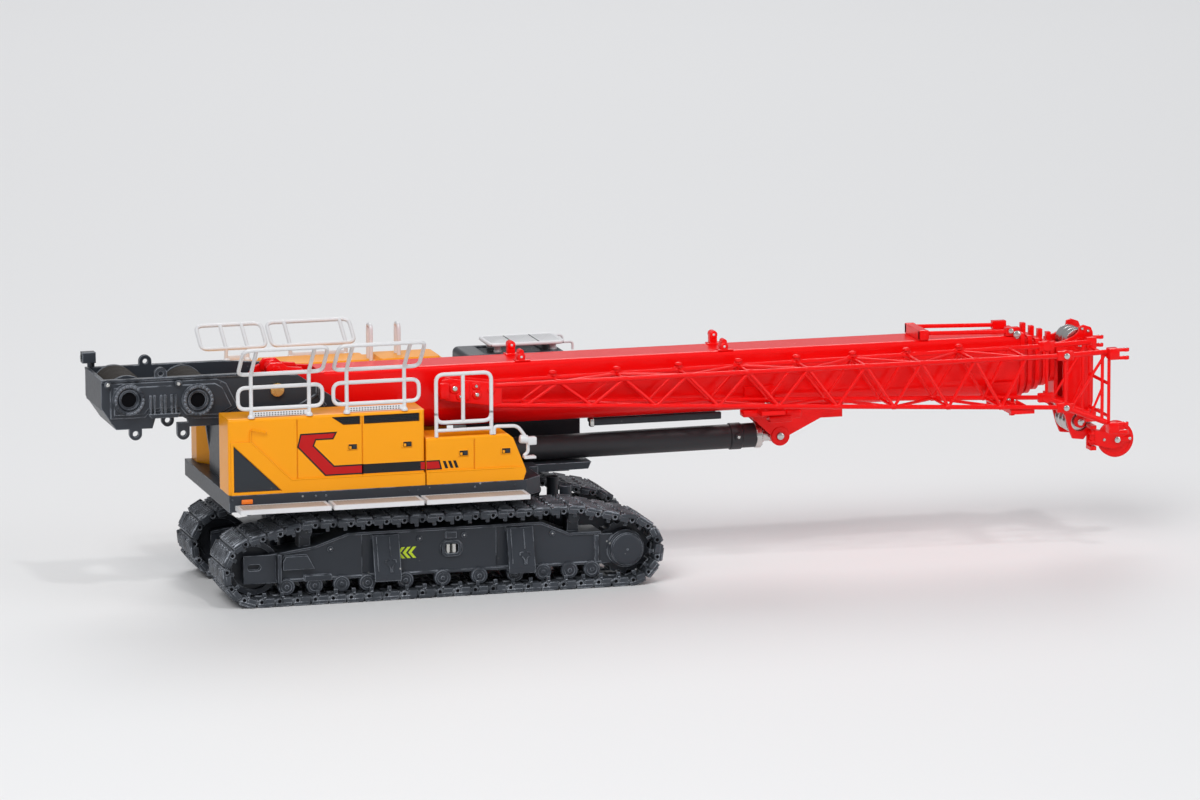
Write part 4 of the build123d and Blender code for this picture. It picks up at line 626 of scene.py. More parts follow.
class CRANE_OT_track_fittings(bpy.types.Operator):
    """Make what sits on the track frames: roller rims, drive covers, socket pins, step beads and chevrons"""
    bl_idname = "crane.track_fittings"
    bl_label = "Track fittings"

    def execute(self, context):
        for side, name in SIDES:
            face, out = side * TRACK_FACE, (0, side, 0)
            hub_x, _, hub_z = np.mean(cad_box(f"sprocket_{name}"), axis=0)
            # rollers under the frame: a rim at each end, a dark hub and a bolt
            rollers = [(x, side * TRACK_MIDDLE, ROLLER_Z) for x in ROLLER_X]
            steel = [repeated(turned([(end * reach, radius) for reach, radius in ROLLER_RIM], ORIGIN, Y_AXIS, 20),
                              rollers) for end in (-1, 1)]
            # final drive: a smooth cover with three fine steps in its rim and a small centre point
            steel.append(turned(DRIVE_COVER, (hub_x, face, hub_z), out, 56))
            # socket pins, bosses along the frame and bright bolt heads on its plates
            plated = [repeated(barrel(1.45, 0.82, 0.15, 0.6, ORIGIN, Z_AXIS),
                               [(x, face - side * 0.5, 12.95) for x in (1.95, 3.85)])]
            steel.append(tube([(x, face + side * 0.05, z) for x, z in oblong((-0.2, 6.0), (10.9, 15.1), 1.7, 5)],
                              0.28, 8, closed=True))
            steel.append(repeated(turned(BOSS, ORIGIN, out, 16), upright(FRAME_BOSSES, face)))
            plated.append(bolts(upright(FRAME_BOSSES, face + side * 0.4), out, 0.22, 0.2))
            plated.append(bolts(upright(FRAME_BOLTS, face + side * 0.02), out, 0.2, 0.15))
            # on each step: its centre bead, two curls and a short split bead under them, and a rear rim
            for x in STEP_X:
                for line, radius in STEP_LINES:
                    path = [(x + along, face + side * step_reach(z), z) for along, z in line]
                    steel.append(tube(bent(path, 0.6) if len(path) > 2 else path, radius, 8))
            # three painted chevrons that point to the rear
            lime = [side_plate(np.add(CHEVRON, (x, 0)), side, TRACK_FACE - 0.1, TRACK_FACE + 0.07, 0.02)
                    for x in -12.7 + 1.62 * np.arange(3)]
            put(f"track_fittings_{name}", f"track_{name}", "dark_paint", chassis_grey=steel, plated_steel=plated,
                chevron_lime=lime)
        return {"FINISHED"}


# ==== hoods ====================================================================================
HOOD_FACE, BELT_FACE, GRILLE_FLOOR = 28.6, 29.0, 28.15     # from y = 0
DECAL = 0.05                                               # thickness of painted marks
ARROW = ((-30.8, 48.0), (-40.3, 47.9), (-41.1, 44.7), (-33.5, 36.5), (-23.2, 36.5), (-23.2, 38.5),
         (-31.2, 38.5), (-37.2, 44.7), (-36.4, 46.7), (-31.5, 46.7))
BLACK_BANDS = (rectangle(-23.2, -5.2, 36.15, 38.85),
               ((-4.8, 36.15), (-0.25, 36.15), (-0.95, 38.85), (-4.8, 38.85)))
RED_BANDS = (rectangle(-6.4, -5.2, 36.5, 38.5), ((-4.8, 36.5), (-0.8, 36.5), (-1.3, 38.5), (-4.8, 38.5)))
SLASHES = (-0.1, 1.4, 2.85)
REAR_PANEL = ((-59.5, 45.7), (-59.5, 32.8), (-46.3, 32.8))
LATCHES = ((-27.3, 43.1), (-11.7, 43.0), (4.4, 39.6), (16.6, 39.6))
BELT_BOLTS = (-60.2, -36.5, -33.6, -10.0, -7.2, 9.0, 20.5)
CREASES = (((-54.8, 49.9), (-54.8, 46.9), (-43.4, 35.6), (-5.5, 35.6)), ((-4.5, 35.6), (20.4, 35.6)))
SLAT = ((0, -0.16), (0.3, -0.02), (0.3, 0.08), (0, 0.06))       # outwards and up
# each grille: its outline, its rear edge at the bottom and at the top, its front edge and its slats' spacing
GRILLES = {RIGHT: ((((-31.6, 52.45), (-28.2, 50.15), (-23.55, 50.15), (-23.55, 52.45)),
                    (-28.4, -31.4), -23.6, 0.42),
                   (rectangle(-22.45, -6.65, 50.15, 52.45), (-22.4, -22.4), -6.7, 0.42)),
           LEFT: ((rectangle(-39.5, -25.0, 50.5, 57.3), (-39.5, -39.5), -25.0, 0.6),
                  (rectangle(-21.0, -8.7, 50.5, 57.3), (-21.0, -21.0), -8.7, 0.6))}


def painted_mark(outline, side, height=DECAL, face=HOOD_FACE):
    """A painted mark on a hood's side: its outline as a film a little proud of the face."""
    return side_plate(outline, side, face - 0.05, face + height, 0.01, soft=False)


def slatted(side, outline, rear, front, spacing):
    """A grille: a dark floor with level slats over it, each a bar tilted like a louvre."""
    parts = [side_plate(outline, side, GRILLE_FLOOR - 0.2, GRILLE_FLOOR, 0.02, soft=False)]
    bottom, top = np.min(outline, axis=0)[1], np.max(outline, axis=0)[1]
    for z in np.arange(bottom + spacing, top - 0.1, spacing):
        slat = [(side * (GRILLE_FLOOR + out), z + up) for out, up in SLAT]
        low = np.interp(z, [bottom, top], rear)
        parts.append(prism(slat, low + 0.15, front - 0.15, FACING_END, 0.02, soft=False))
    return join(*parts)


def latch_part(x, z, side, x_range, z_range, corner, height, edge):
    """One plate of a latch: a rounded rectangle that stands out from the hood by its height."""
    outline = oblong((x + x_range[0], x + x_range[1]), (z + z_range[0], z + z_range[1]), corner)
    return side_plate(outline, side, HOOD_FACE - 0.02, HOOD_FACE + height, edge)


class CRANE_OT_hood_marks(bpy.types.Operator):
    """Paint the stripes of both hoods and fit their grilles, latches, handle and marker lamps"""
    bl_idname = "crane.hood_marks"
    bl_label = "Hood stripes and grilles"

    def execute(self, context):
        for side, name in SIDES:
            out = (0, side, 0)
            # the arrow, the bare band behind it with its red bar, and three slashes
            black = [painted_mark(inset(ARROW, -0.42), side, DECAL * 0.6)]
            black += [painted_mark(band, side, DECAL * 0.6) for band in BLACK_BANDS]
            red = [painted_mark(outline, side) for outline in (ARROW, *RED_BANDS)]
            for x in SLASHES:
                black.append(painted_mark(((x + 0.75, 36.4), (x + 1.6, 36.4), (x + 0.85, 38.5), (x, 38.5)), side))
            dark = [slatted(side, *grille) for grille in GRILLES[side]]
            latches, yellow, fixed = LATCHES, [], []
            if side == RIGHT:
                dark.append(painted_mark(REAR_PANEL, side, 0.02, 28.55))
            else:
                red.append(painted_mark(rectangle(-5.3, -4.7, 36.5, 38.5), side))
                latches = LATCHES[:3]
            for x, z in latches:
                yellow.append(latch_part(x, z, side, (-0.1, 3.0), (-0.2, 1.9), 0.3, 0.1, 0.08))
                black.append(latch_part(x, z, side, (0.35, 2.7), (0.15, 1.55), 0.12, 0.14, 0.02))
                yellow.append(latch_part(x, z, side, (0.5, 1.15), (0.25, 1.05), 0.1, 0.26, 0.06))
                dark.append(latch_part(x, z, side, (1.45, 2.5), (0.35, 1.35), 0.1, 0.24, 0.06))
                fixed.append(bolts([(x + 0.1, side * (HOOD_FACE + 0.06), z - 0.05)], out, 0.22, 0.1))
            if side == RIGHT:
                yellow += [tube([(x, side * 28.88, z) for x, z in line], 0.24, 10) for line in CREASES]
            # handle at the rear, the marker lamp on the deck's edge and the belt's bolts
            handle = [(x, side * (HOOD_FACE + reach), z) for x, reach, z in
                      ((-54.5, 0, 50.3), (-54.4, 0.7, 50.2), (-50.4, 0.7, 49.2), (-50.3, 0, 49.2))]
            fixed.append(tube(bent(handle, 0.5), 0.16, 8))
            amber = [block((-57.6, -54.4), span(side, 28.9, 29.5), (29.5, 30.8), 0.25)]
            heads = [bolts([(x, side * BELT_FACE, 30.7) for x in BELT_BOLTS], out, 0.34, 0.22, 10)]
            put(f"hood_marks_{name}", "upper", "yellow_paint", stripe_black=black, stripe_red=red, panel_grey=dark,
                marker_amber=amber, hood_yellow=yellow + fixed, chassis_grey=heads)
        return {"FINISHED"}


class CRANE_OT_walkways(bpy.types.Operator):
    """Make the walkways' tread panels with their studs, and the brackets under them"""
    bl_idname = "crane.walkways"
    bl_label = "Walkway treads"
    PANELS = ((-59.4, 25.6), (-33.0, 25.6), (-6.6, 29.6))       # start and length
    BORDER, STUD_SPACING = 0.85, 0.95
    BRACKET = ((28.6, 27.6), (28.6, 26.4), (30.2, 26.4), (35.6, 27.85))

    def execute(self, context):
        stud = prism(oblong((-0.28, 0.28), (-0.28, 0.28), 0.1, 2), 0, 0.14, FACING_UP, 0.08, soft=False)
        for side, name in SIDES:
            low, high = cad_box(f"walkways_{name}")
            inner, outer = sorted((abs(low[1]), abs(high[1])))
            top, treads, brackets = high[2], [], []
            near, far = inner + self.BORDER, outer - self.BORDER
            for start, length in self.PANELS:
                x0, x1 = start + self.BORDER, start + length - self.BORDER
                treads.append(block((x0, x1), span(side, near, far), (top - 0.5, top - 0.02), 0.05))
                across, along = np.meshgrid(np.arange(x0 + 0.6, x1 - 0.4, self.STUD_SPACING),
                                            np.arange(near + 0.55, far - 0.4, self.STUD_SPACING))
                places = np.stack([across.ravel(), side * along.ravel(), np.full(across.size, top - 0.05)], axis=1)
                treads.append(repeated(stud, places))
                for x in (start + 3.5, start + length - 3.5):
                    brackets.append(prism(np.multiply(self.BRACKET, (side, 1)), *around(x, 0.4), FACING_END, 0.1))
            put(f"walkway_treads_{name}", "upper", "silver_paint", tread_tan=treads, deck_grey=brackets)
        return {"FINISHED"}


# ==== rails ====================================================================================
RAIL_Y, RAIL_REACH = 28.0, 36.0         # of the upright loops and of the outer edge of the leaning ones
POST_FOOT = ((0, 1.0), (0.5, 1.0), (0.7, 0.8), (1.0, 0.62))
# each hood: its top, the lower loops' bottom and top, where the upper loops lean from and how far they rise
RAIL_ROWS = {RIGHT: (53.3, (55.9, 61.9), 65.6, 8.1), LEFT: (59.4, None, 63.2, 5.4)}
# each loop: its rear end, its front end and its two posts
RAIL_LOOPS = {RIGHT: ((-58.0, -34.1, (-54.3, -37.9)), (-31.0, -6.6, (-27.2, -10.8))),
              LEFT: ((-55.9, -37.0, (-48.8, -42.6)), (-35.4, -11.3, (-30.2, -14.0)))}


class CraneRails(bpy.types.PropertyGroup):
    """Sizes of the guard rails."""
    radius: bpy.props.FloatProperty(name="Rail radius", description="Radius of a rail's tube", default=0.56 * MM,
                                    unit="LENGTH", precision=5)
    bend: bpy.props.FloatProperty(name="Corner bend", description="Radius of a rail loop's corners",
                                  default=2.2 * MM, unit="LENGTH", precision=4)


def rail_loop(low, high, x_from, x_to, radius, bend):
    """A tube round a loop with bent corners, in the plane through two (y, z) places."""
    corners = [(x_from, *low), (x_to, *low), (x_to, *high), (x_from, *high)]
    return tube(bent(corners, bend, closed=True, steps=6), radius, 12, closed=True)


class CRANE_OT_rails(bpy.types.Operator):
    """Make the guard rails of both hoods and the handrail at the front"""
    bl_idname = "crane.rails"
    bl_label = "Guard rails"

    def execute(self, context):
        settings = context.scene.crane_rails
        radius, bend = settings.radius / MM, settings.bend / MM
        for side, name in SIDES:
            self.row(side, name, radius, bend)
        self.front(radius, bend)
        return {"FINISHED"}

    def row(self, side, name, radius, bend):
        """Loops and posts along one hood; the upper loops lean outwards."""
        foot, low_loop, lean_from, rise = RAIL_ROWS[side]
        y, reach, lean_to = side * RAIL_Y, side * RAIL_REACH, lean_from + rise
        tubes, strips, dots = [], [], []
        for x_from, x_to, posts in RAIL_LOOPS[side]:
            if low_loop:
                tubes.append(rail_loop((y, low_loop[0]), (y, low_loop[1]), x_from, x_to, radius, bend))
            tubes.append(rail_loop((y, lean_from), (reach, lean_to), x_from, x_to, radius, bend))
            for x in posts:
                tubes.append(tube([(x, y, foot), (x, y, lean_from)], radius, 12))
                tubes.append(tube([(x, y, lean_from), (x, reach, lean_to)], radius, 12))
                strips.append(turned(POST_FOOT, (x, y, foot + 0.02), Z_AXIS, 16))
            strips.append(block(posts, around(y, 0.2), (foot + 0.35, foot + 1.75), 0.12))
            for level in (0.75, 1.35):
                spots = [(x, y + side * 0.2, foot + level) for x in np.arange(posts[0] + 1.2, posts[1] - 0.9, 0.8)]
                dots.append(bolts(spots, (0, side, 0), 0.2, 0.05, 6))
        if side == LEFT:
            for x, base in ((-9.0, foot), (-0.9, foot + 1.2)):
                hoop = [(x, 18.2, base), (x, 18.2, 69.4), (x, 21.8, 69.4), (x, 21.8, base)]
                tubes.append(tube(bent(hoop, 1.2), radius, 12))
        put(f"guard_rails_{name}", "upper", "silver_paint", (f"rails_{name}",), rail_silver=tubes + strips,
            panel_grey=dots)

    def front(self, radius, bend):
        """The loop over the low hood, its posts and lower bar, and the handrail with its lamp and step."""
        y, foot, rear, ahead = -RAIL_Y, 45.2, -1.7, 14.1
        tubes = [rail_loop((y, 49.2), (y, 62.8), rear, ahead, radius, bend)]
        tubes += [tube([(x, y, low), (x, y, high)], radius, 12)
                  for x, low, high in ((6.0, 49.2, 62.8), (rear, foot, 52.0), (ahead, foot, 52.0))]
        tubes.append(tube([(rear, y, 47.0), (ahead, y, 47.0)], radius * 0.9, 12))
        handrail = ((14.9, foot), (14.9, 47.4), (21.6, 47.2), (24.6, 43.0), (24.6, 39.6), (23.4, 38.6))
        tubes.append(tube(bent(upright(handrail, y), 1.4, steps=6), radius * 0.9, 12))
        lamp = [block((24.3, 26.9), around(y, 1.2), (41.7, 43.9), 0.3),
                turned([(-2.2, 1.0), (-1.9, 1.2), (0.0, 1.2), (0.2, 0.9)], (24.4, y, 43.2), (1.0, 0, -0.1), 20)]
        step = block((23.2, 26.6), (y - 1.6, y + 1.0), (37.9, 38.6), 0.15)
        put("guard_rail_front", "upper", "silver_paint", ("rail_front_right",), rail_silver=[*tubes, *lamp, step])


# ==== stowed jib ===============================================================================
JIB_TIP = (18.0, -16.6, -10.6, 56.8, 51.2)      # x, y away from the boom, y beside it, z above, z below
JIB_ROOT = (183.0, -27.6, -10.9, 58.8, 43.8)
JIB_FIRST, JIB_BAY, JIB_LOSS, JIB_BAYS = 27.0, 18.9, 0.25, 8
POST_X, FORK_X = 194.8, 201.0
TIP_PLATE = ((20.0, 57.3), (5.0, 59.4), (2.9, 59.0), (2.4, 58.2), (2.4, 54.9), (2.8, 53.9), (4.0, 53.2),
             (20.0, 50.7))
TIP_PINS = ((6.4, 56.6, 0.75), (8.0, 54.3, 0.4), (12.6, 57.0, 0.45), (12.8, 54.6, 0.6), (17.0, 55.6, 0.4))
LUG_CAP = ((-0.1, 0.9), (0.55, 0.7), (0.65, 1.2), (1.1, 1.15), (1.45, 0.75), (1.55, 0.3))


class CraneJib(bpy.types.PropertyGroup):
    """Tube sizes of the lattice jib."""
    chord: bpy.props.FloatProperty(name="Chord", description="Radius of a chord's tube", default=0.66 * MM,
                                   unit="LENGTH", precision=5)
    brace: bpy.props.FloatProperty(name="Brace", description="Radius of a brace's tube", default=0.47 * MM,
                                   unit="LENGTH", precision=5)


def jib_line(x, near, upper):
    """Centre of one of the jib's four chords at x: a straight blend from its tip to its root."""
    share = (x - JIB_TIP[0]) / (JIB_ROOT[0] - JIB_TIP[0])
    across = [JIB_TIP[k] + share * (JIB_ROOT[k] - JIB_TIP[k]) for k in (1 if near else 2, 3 if upper else 4)]
    return np.array([x, *across])


def jib_nodes():
    """Where the braces meet the lower and the upper chords: bays that shorten a little towards the root."""
    count = np.arange(JIB_BAYS + 1)
    lower = JIB_FIRST + JIB_BAY * count - JIB_LOSS * count * (count - 1)
    return lower, np.append((lower[:-1] + lower[1:]) / 2, lower[-1] + 7.2)


class CRANE_OT_jib(bpy.types.Operator):
    """Make the stowed lattice jib: chords, braces, tip plates, root frame, forks, lugs and pins"""
    bl_idname = "crane.jib"
    bl_label = "Lattice jib"

    def execute(self, context):
        settings = context.scene.crane_jib
        chord, brace = settings.chord / MM, settings.brace / MM
        lower, upper = jib_nodes()
        for near, name in ((True, "right"), (False, "left")):
            parts = [self.truss(near, lower, upper, chord, brace), self.tip(near), self.root(near)]
            if not near:
                parts.append(self.lugs(upper[:-1], chord))
            red, plated = ([shape for part in parts for shape in part[k]] for k in (0, 1))
            put(f"jib_side_{name}", "boom_base", "red_paint", (f"jib_truss_{name}",), boom_red=red,
                plated_steel=plated)
        members = []
        for high, nodes in ((True, upper), (False, lower)):
            for index, x in enumerate(nodes):
                members.append(tube([jib_line(x, near, high) for near in (True, False)], brace, 8))
                if index + 1 < len(nodes):
                    ends = jib_line(x, index % 2 == 0, high), jib_line(nodes[index + 1], index % 2 == 1, high)
                    members.append(tube(ends, brace, 8))
        for z in (57.9, 50.0, 40.6):
            members.append(tube([(POST_X + 1.2, y, z) for y in JIB_ROOT[1:3]], 0.5, 10))
        put("jib_cross_tubes", "boom_base", "red_paint", ("jib_cross_members",), boom_red=members)
        return {"FINISHED"}

    def truss(self, near, lower, upper, chord, brace):
        """One side: two chords, a weld bead round each of their joints, and the zigzag between them."""
        red = []
        for high, joints in ((True, upper), (False, lower)):
            red.append(tube([jib_line(x, near, high) for x in (JIB_TIP[0] - 1, JIB_ROOT[0])], chord, 12))
            red += [barrel(0.9, chord * 1.16, 0.4, chord * 0.9, jib_line(x, near, high), X_AXIS, 12)
                    for x in joints]
        for index, x in enumerate(lower):
            for above in (index, index - 1) if index else (0,):
                red.append(tube([jib_line(x, near, False), jib_line(upper[above], near, True)], brace, 8))
        return red, []

    def tip(self, near):
        """The plate at the tip of one side, with its stiffeners, bosses and pins."""
        y, out = (JIB_TIP[1], RIGHT) if near else (JIB_TIP[2], LEFT)
        red = [prism(TIP_PLATE, *around(y, 0.4), FACING_SIDE, 0.12),
               block((2.0, 4.6), sorted((y, y + out * 1.5)), (53.9, 58.4), 0.35),
               block((9.2, 10.6), sorted((y, y + out * 0.9)), (53.2, 58.2), 0.25)]
        plated = []
        for x, z, radius in TIP_PINS:
            pin = (x, y, z), (0, out, 0)
            red.append(turned([(0.3, radius + 0.75), (0.6, radius + 0.7), (0.75, radius + 0.5)], *pin, 20))
            plated.append(knob(radius, 0.3, 0.95, 1.1, radius * 0.7, *pin))
        return red, plated

    def root(self, near):
        """The post at the root of one side, its braces and joints, and the two forks that take the head's pins."""
        out, root_x = (RIGHT if near else LEFT), JIB_ROOT[0]
        (_, y, top), (_, _, bottom) = (jib_line(root_x, near, high) for high in (True, False))
        flare, plated = out * 2.7, []
        red = [tube([(x0, y, z0), (x1, y, z1)], radius, sides) for x0, z0, x1, z1, radius, sides in (
            (root_x, top, POST_X + 1.2, 59.3, 0.72, 12), (root_x, bottom, POST_X + 1.2, 38.6, 0.82, 12),
            (POST_X - 0.8, 38.8, POST_X - 0.8, 59.3, 0.5, 10), (POST_X + 1.2, 38.8, POST_X + 1.2, 59.3, 0.5, 10),
            (root_x + 1.5, 43.2, POST_X, 58.6, 0.42, 10), (190.5, 41.0, POST_X - 0.8, 49.0, 0.36, 10),
            (root_x, bottom, root_x, top, 0.5, 10))]
        for z in (top, bottom):
            red.append(block((root_x - 2.6, root_x + 2.2), around(y, 0.75), around(z, 1.35), 0.3))
            red.append(barrel(0.85, 1.55, 0.2, 1.35, (root_x, y, z), Y_AXIS, 24))
            plated.append(knob(0.85, 0.5, 1.2, 1.32, 0.6, (root_x, y, z), (0, out, 0)))
        for z in (59.0, 37.6):
            red.append(block((POST_X + 0.3, 198.1), sorted((y - flare * 0.1, y + flare + out * 0.7)),
                             around(z, 1.6), 0.3))
            for prong in around(z, 1.15):
                eye = (FORK_X - 0.9, y + flare, prong)
                red.append(block((197.9, FORK_X - 0.4), around(y + flare, 0.75), around(prong, 0.45), 0.2))
                red.append(barrel(0.48, 0.95, 0.1, 0.85, eye, Z_AXIS, 16))
                plated.append(barrel(0.6, 0.42, 0.05, 0.3, eye, Z_AXIS, 12))
        return red, plated

    def lugs(self, places, chord):
        """Lugs along the chord beside the boom: two cheeks with a round cap over them."""
        red = []
        for x in places:
            _, y, z = jib_line(x, False, True) + (0, 0, chord)
            red.append(turned(LUG_CAP, (x, y, z), Z_AXIS, 16))
            red.append(prism([(x - 2.2, z - 0.5), (x + 2.2, z - 0.5), (x + 0.9, z + 0.7), (x - 0.9, z + 0.7)],
                             *around(y, 0.4), FACING_SIDE, 0.1))
        return red, []


# ==== winches ==================================================================================
WINCHES = {"rear": (-85.4, 57.4), "front": (-65.9, 56.4)}
WOUND = {"rear": 0.55, "front": 0.35}   # how far the rope stands above the drum's core
ROPE_RADIUS, DRUM_CORE, DRUM_HALF = 0.34, 5.5, 8.0
WINCH_FACE = 12.2                       # outside of the winch frame's raised panels
LUG_PINS = ((-91.2, 61.8), (-71.3, 61.2))


class CRANE_OT_winch_ropes(bpy.types.Operator):
    """Wind the rope on both winch drums"""
    bl_idname = "crane.winch_ropes"
    bl_label = "Winch ropes"

    def execute(self, context):
        for name, (x, z) in WINCHES.items():
            rope = self.wound(x, z, DRUM_CORE + WOUND[name])
            put(f"winch_rope_{name}", f"drum_{name}", "bare_steel", rope_brown=[rope])
        return {"FINISHED"}

    def wound(self, x, z, radius):
        """A ribbed sleeve of rope: radius(y) = core + rope * |cos(pi * y / (2 * rope))|, turned round the drum."""
        y = np.linspace(-DRUM_HALF, DRUM_HALF, int(DRUM_HALF / ROPE_RADIUS) * 6 + 1)
        bulge = radius + ROPE_RADIUS * np.abs(np.cos(pi * y / (2 * ROPE_RADIUS)))
        ends = [[(place, DRUM_CORE - 0.2)] for place in (y[0], y[-1])]
        return turned(np.concatenate([ends[0], np.stack([y, bulge], axis=1), ends[1]]), (x, 0, z), Y_AXIS, 56)


class CRANE_OT_winch_fittings(bpy.types.Operator):
    """Make the winches' bearing rings with their bolts and a painted shade disc in each, the lugs' pins and the
    rear lamp's lens
    """
    bl_idname = "crane.winch_fittings"
    bl_label = "Winch fittings"

    def execute(self, context):
        steel, plated, hole = [], [], []
        for side, _ in SIDES:
            face, out = side * WINCH_FACE, (0, side, 0)
            for x, z in WINCHES.values():
                steel.append(ring_of(3.25, 4.35, -0.1, 1.25, (x, face, z), out, 48, 0.25))
                steel.append(bolts(self.circle(x, face + side * 1.2, z, 3.95, 22), out, 0.36, 0.35))
                steel.append(ring_of(2.35, 3.05, -0.1, 0.95, (x, face, z), out, 40, 0.2))
                # a near-black disc in the inner ring: painted shade for the dark hollow in its middle
                hole.append(turned([(-0.05, 2.3), (0.12, 2.3)], (x, face, z), out, 32))
            places = upright(LUG_PINS, face)
            plated.append(bolts(places, out, 0.62, 0.55, 12))
            steel += [ring_of(0.62, 1.05, -0.05, 0.3, place, out, 20, 0.1) for place in places]
        lens = turned([(0, 0.9), (0.15, 1.0), (0.3, 0.7)], (-94.0, 10.4, 65.9), (-1, 0, 0), 20)
        steel.append(tube([(-92.0, 9.4, 63.2), (-92.0, 9.4, 64.5)], 0.6, 10))
        put("winch_fittings", "upper", "dark_paint", chassis_grey=steel, cab_glass=[lens], pin_shadow=hole,
            plated_steel=plated)
        return {"FINISHED"}

    def circle(self, x, y, z, radius, count):
        """Evenly spaced places round a circle that faces sideways."""
        turn = np.arange(count) / count * 2 * pi
        return upright(np.stack([x + radius * np.cos(turn), z + radius * np.sin(turn)], axis=1), y)


# ==== boom, cylinder and head ==================================================================
CYLINDER_BASE, LUFF_PIN = np.array([12.0, 0.0, 35.0]), np.array([105.3, 0.0, 35.5])
GLAND, COLLAR, PORT = 86.6, 79.0, 81.0          # along the cylinder from its base
GUIDE_POSTS = ((-5.4, 63.6), (5.4, 65.2))
FOOT_BRACKET = ((-44.5, 60.9), (-33.5, 60.9), (-34.5, 62.6), (-38.5, 63.0), (-40.0, 64.2), (-43.6, 64.2),
                (-44.6, 63.0))
# the stacked clamp plates that hold the stowed jib beside the luffing lug: their X, Y and Z ranges
STOW_PLATES = (((90.5, 102.6), (-17.2, -13.4), (43.9, 45.7)), ((98.0, 104.6), (-18.4, -14.6), (42.2, 43.9)),
               ((103.4, 107.8), (-17.0, -14.4), (42.9, 45.2)), ((99.0, 103.5), (-14.5, -4.1), (42.6, 44.2)))
HINGE_X, ROOSTER_NUT = 198.3, np.array([205.0, -9.7, 30.1])


class CRANE_OT_boom_fittings(bpy.types.Operator):
    """Make the boom's guide-post rollers, pins, weld seams, jib clamp plates and the jib brackets' bolts"""
    bl_idname = "crane.boom_fittings"
    bl_label = "Boom fittings"

    def execute(self, context):
        red, plated, pale = [], [], []
        for x in (28.5, 88.0):
            for y, head in GUIDE_POSTS:
                red.append(block(around(x, 1.1), around(y, 1.2), (61.4, head - 0.5), 0.3))
                red.append(barrel(1.4, 1.15, 0.2, 0.85, (x, y, head - 0.9), Y_AXIS))
                red.append(block((x - 1.8, x + 2.6), around(y, 1.6), (61.4, 61.85), 0.15))
                pale.append(bolts([(x, y - 1.35, head - 0.9)], (0, -1, 0), 0.35, 0.2, 10))
        # frame on the boom's top: bolts and pins at its front blocks
        for side in (RIGHT, LEFT):
            plated.append(knob(0.75, 0, 0.35, 0.45, 0.5, (173.4, side * 7.0, 63.0), (0, side, 0), 18))
            plated.append(knob(1.15, 0, 0.5, 0.7, 0.85, (175.2, side * 7.0, 61.9), (0, side, 0), 24))
            red.append(block((146.0, 148.8), span(side, 5.4, 7.2), (61.5, 64.4), 0.3))
        # weld seams along the lug plates, and the jib brackets' bolts
        red += [tube([(94.6, y, 43.35), (124.0, y, 43.35)], 0.22, 8) for y in (-4.25, 4.25)]
        for x, z in ((98.0, 45.0), (170.5, 42.4)):
            for spread in (-2.4, 2.4):
                plated.append(bolts([(x + spread, y, z + 1.2) for y in (-9.4, -12.6)], Z_AXIS, 0.42, 0.5, 10))
            plated.append(bolts([(x, -14.2, z + 1.9)], Z_AXIS, 0.6, 0.5, 12))
        # the two bars over the cylinder, and the bright block at the end of one
        strips = [block((50.4, 88.0), bar, (41.3, 43.3), 0.25) for bar in ((-3.6, -2.2), (2.2, 3.6))]
        plated.append(block((49.2, 50.5), (-3.9, -2.0), (41.0, 43.4), 0.3))
        for side in (RIGHT, LEFT):
            pin = LUFF_PIN + (0, side * 4.15, 0), (0, side, 0)
            plated.append(knob(1.05, 0, 0.55, 0.7, 0.8, *pin, 24))
            red.append(ring_of(1.1, 2.75, -0.1, 0.35, *pin, 36, 0.15))
            red.append(side_plate(FOOT_BRACKET, side, 3.6, 4.8, 0.3))
        # the sheave in the bracket on the boom's foot
        red.append(barrel(4.9, 1.1, 0.2, 0.9, (-41.9, 0, 62.6), Y_AXIS))
        red.append(turned([(-1.2, 1.9), (-1.1, 2.1), (-0.3, 1.7), (0.3, 1.7), (1.1, 2.1), (1.2, 1.9)],
                          (-41.9, 0, 62.2), Y_AXIS, 28))
        put("boom_fittings", "boom_base", "red_paint", boom_red=red, plated_steel=plated, rail_silver=pale,
            panel_grey=strips)
        put("stow_plates", "boom_base", "red_paint", boom_red=[block(*ranges, 0.3) for ranges in STOW_PLATES])
        return {"FINISHED"}


class CRANE_OT_cylinder_fittings(bpy.types.Operator):
    """Make the luffing cylinder's gland, collar and port"""
    bl_idname = "crane.cylinder_fittings"
    bl_label = "Cylinder fittings"

    def execute(self, context):
        along = (LUFF_PIN - CYLINDER_BASE) / np.linalg.norm(LUFF_PIN - CYLINDER_BASE)
        gland, collar, port = (CYLINDER_BASE + along * place for place in (GLAND, COLLAR, PORT))
        black = [turned([(0, 3.5), (0.3, 3.82), (3.4, 3.82), (3.7, 3.5)], collar, along, 40),
                 turned([(0, 0.95), (0.9, 0.95), (1.0, 0.8), (1.0, 0.5)], port + (0, -3.4, 0.4), (0, -1, 0), 18)]
        plated = [turned([(0, 3.55), (0.2, 3.72), (1.6, 3.72), (1.8, 3.5), (2.0, 2.4)], gland, along, 40),
                  turned([(0, 0.5), (0.25, 0.42)], port + (0, -4.2, 0.4), (0, -1, 0), 12),
                  bolts(ring_around(gland + along * 1.9, along, 3.05, 12), along, 0.22, 0.25)]
        put("cylinder_fittings", "ram_barrel", "black_gloss", black_gloss=black, plated_steel=plated)
        return {"FINISHED"}


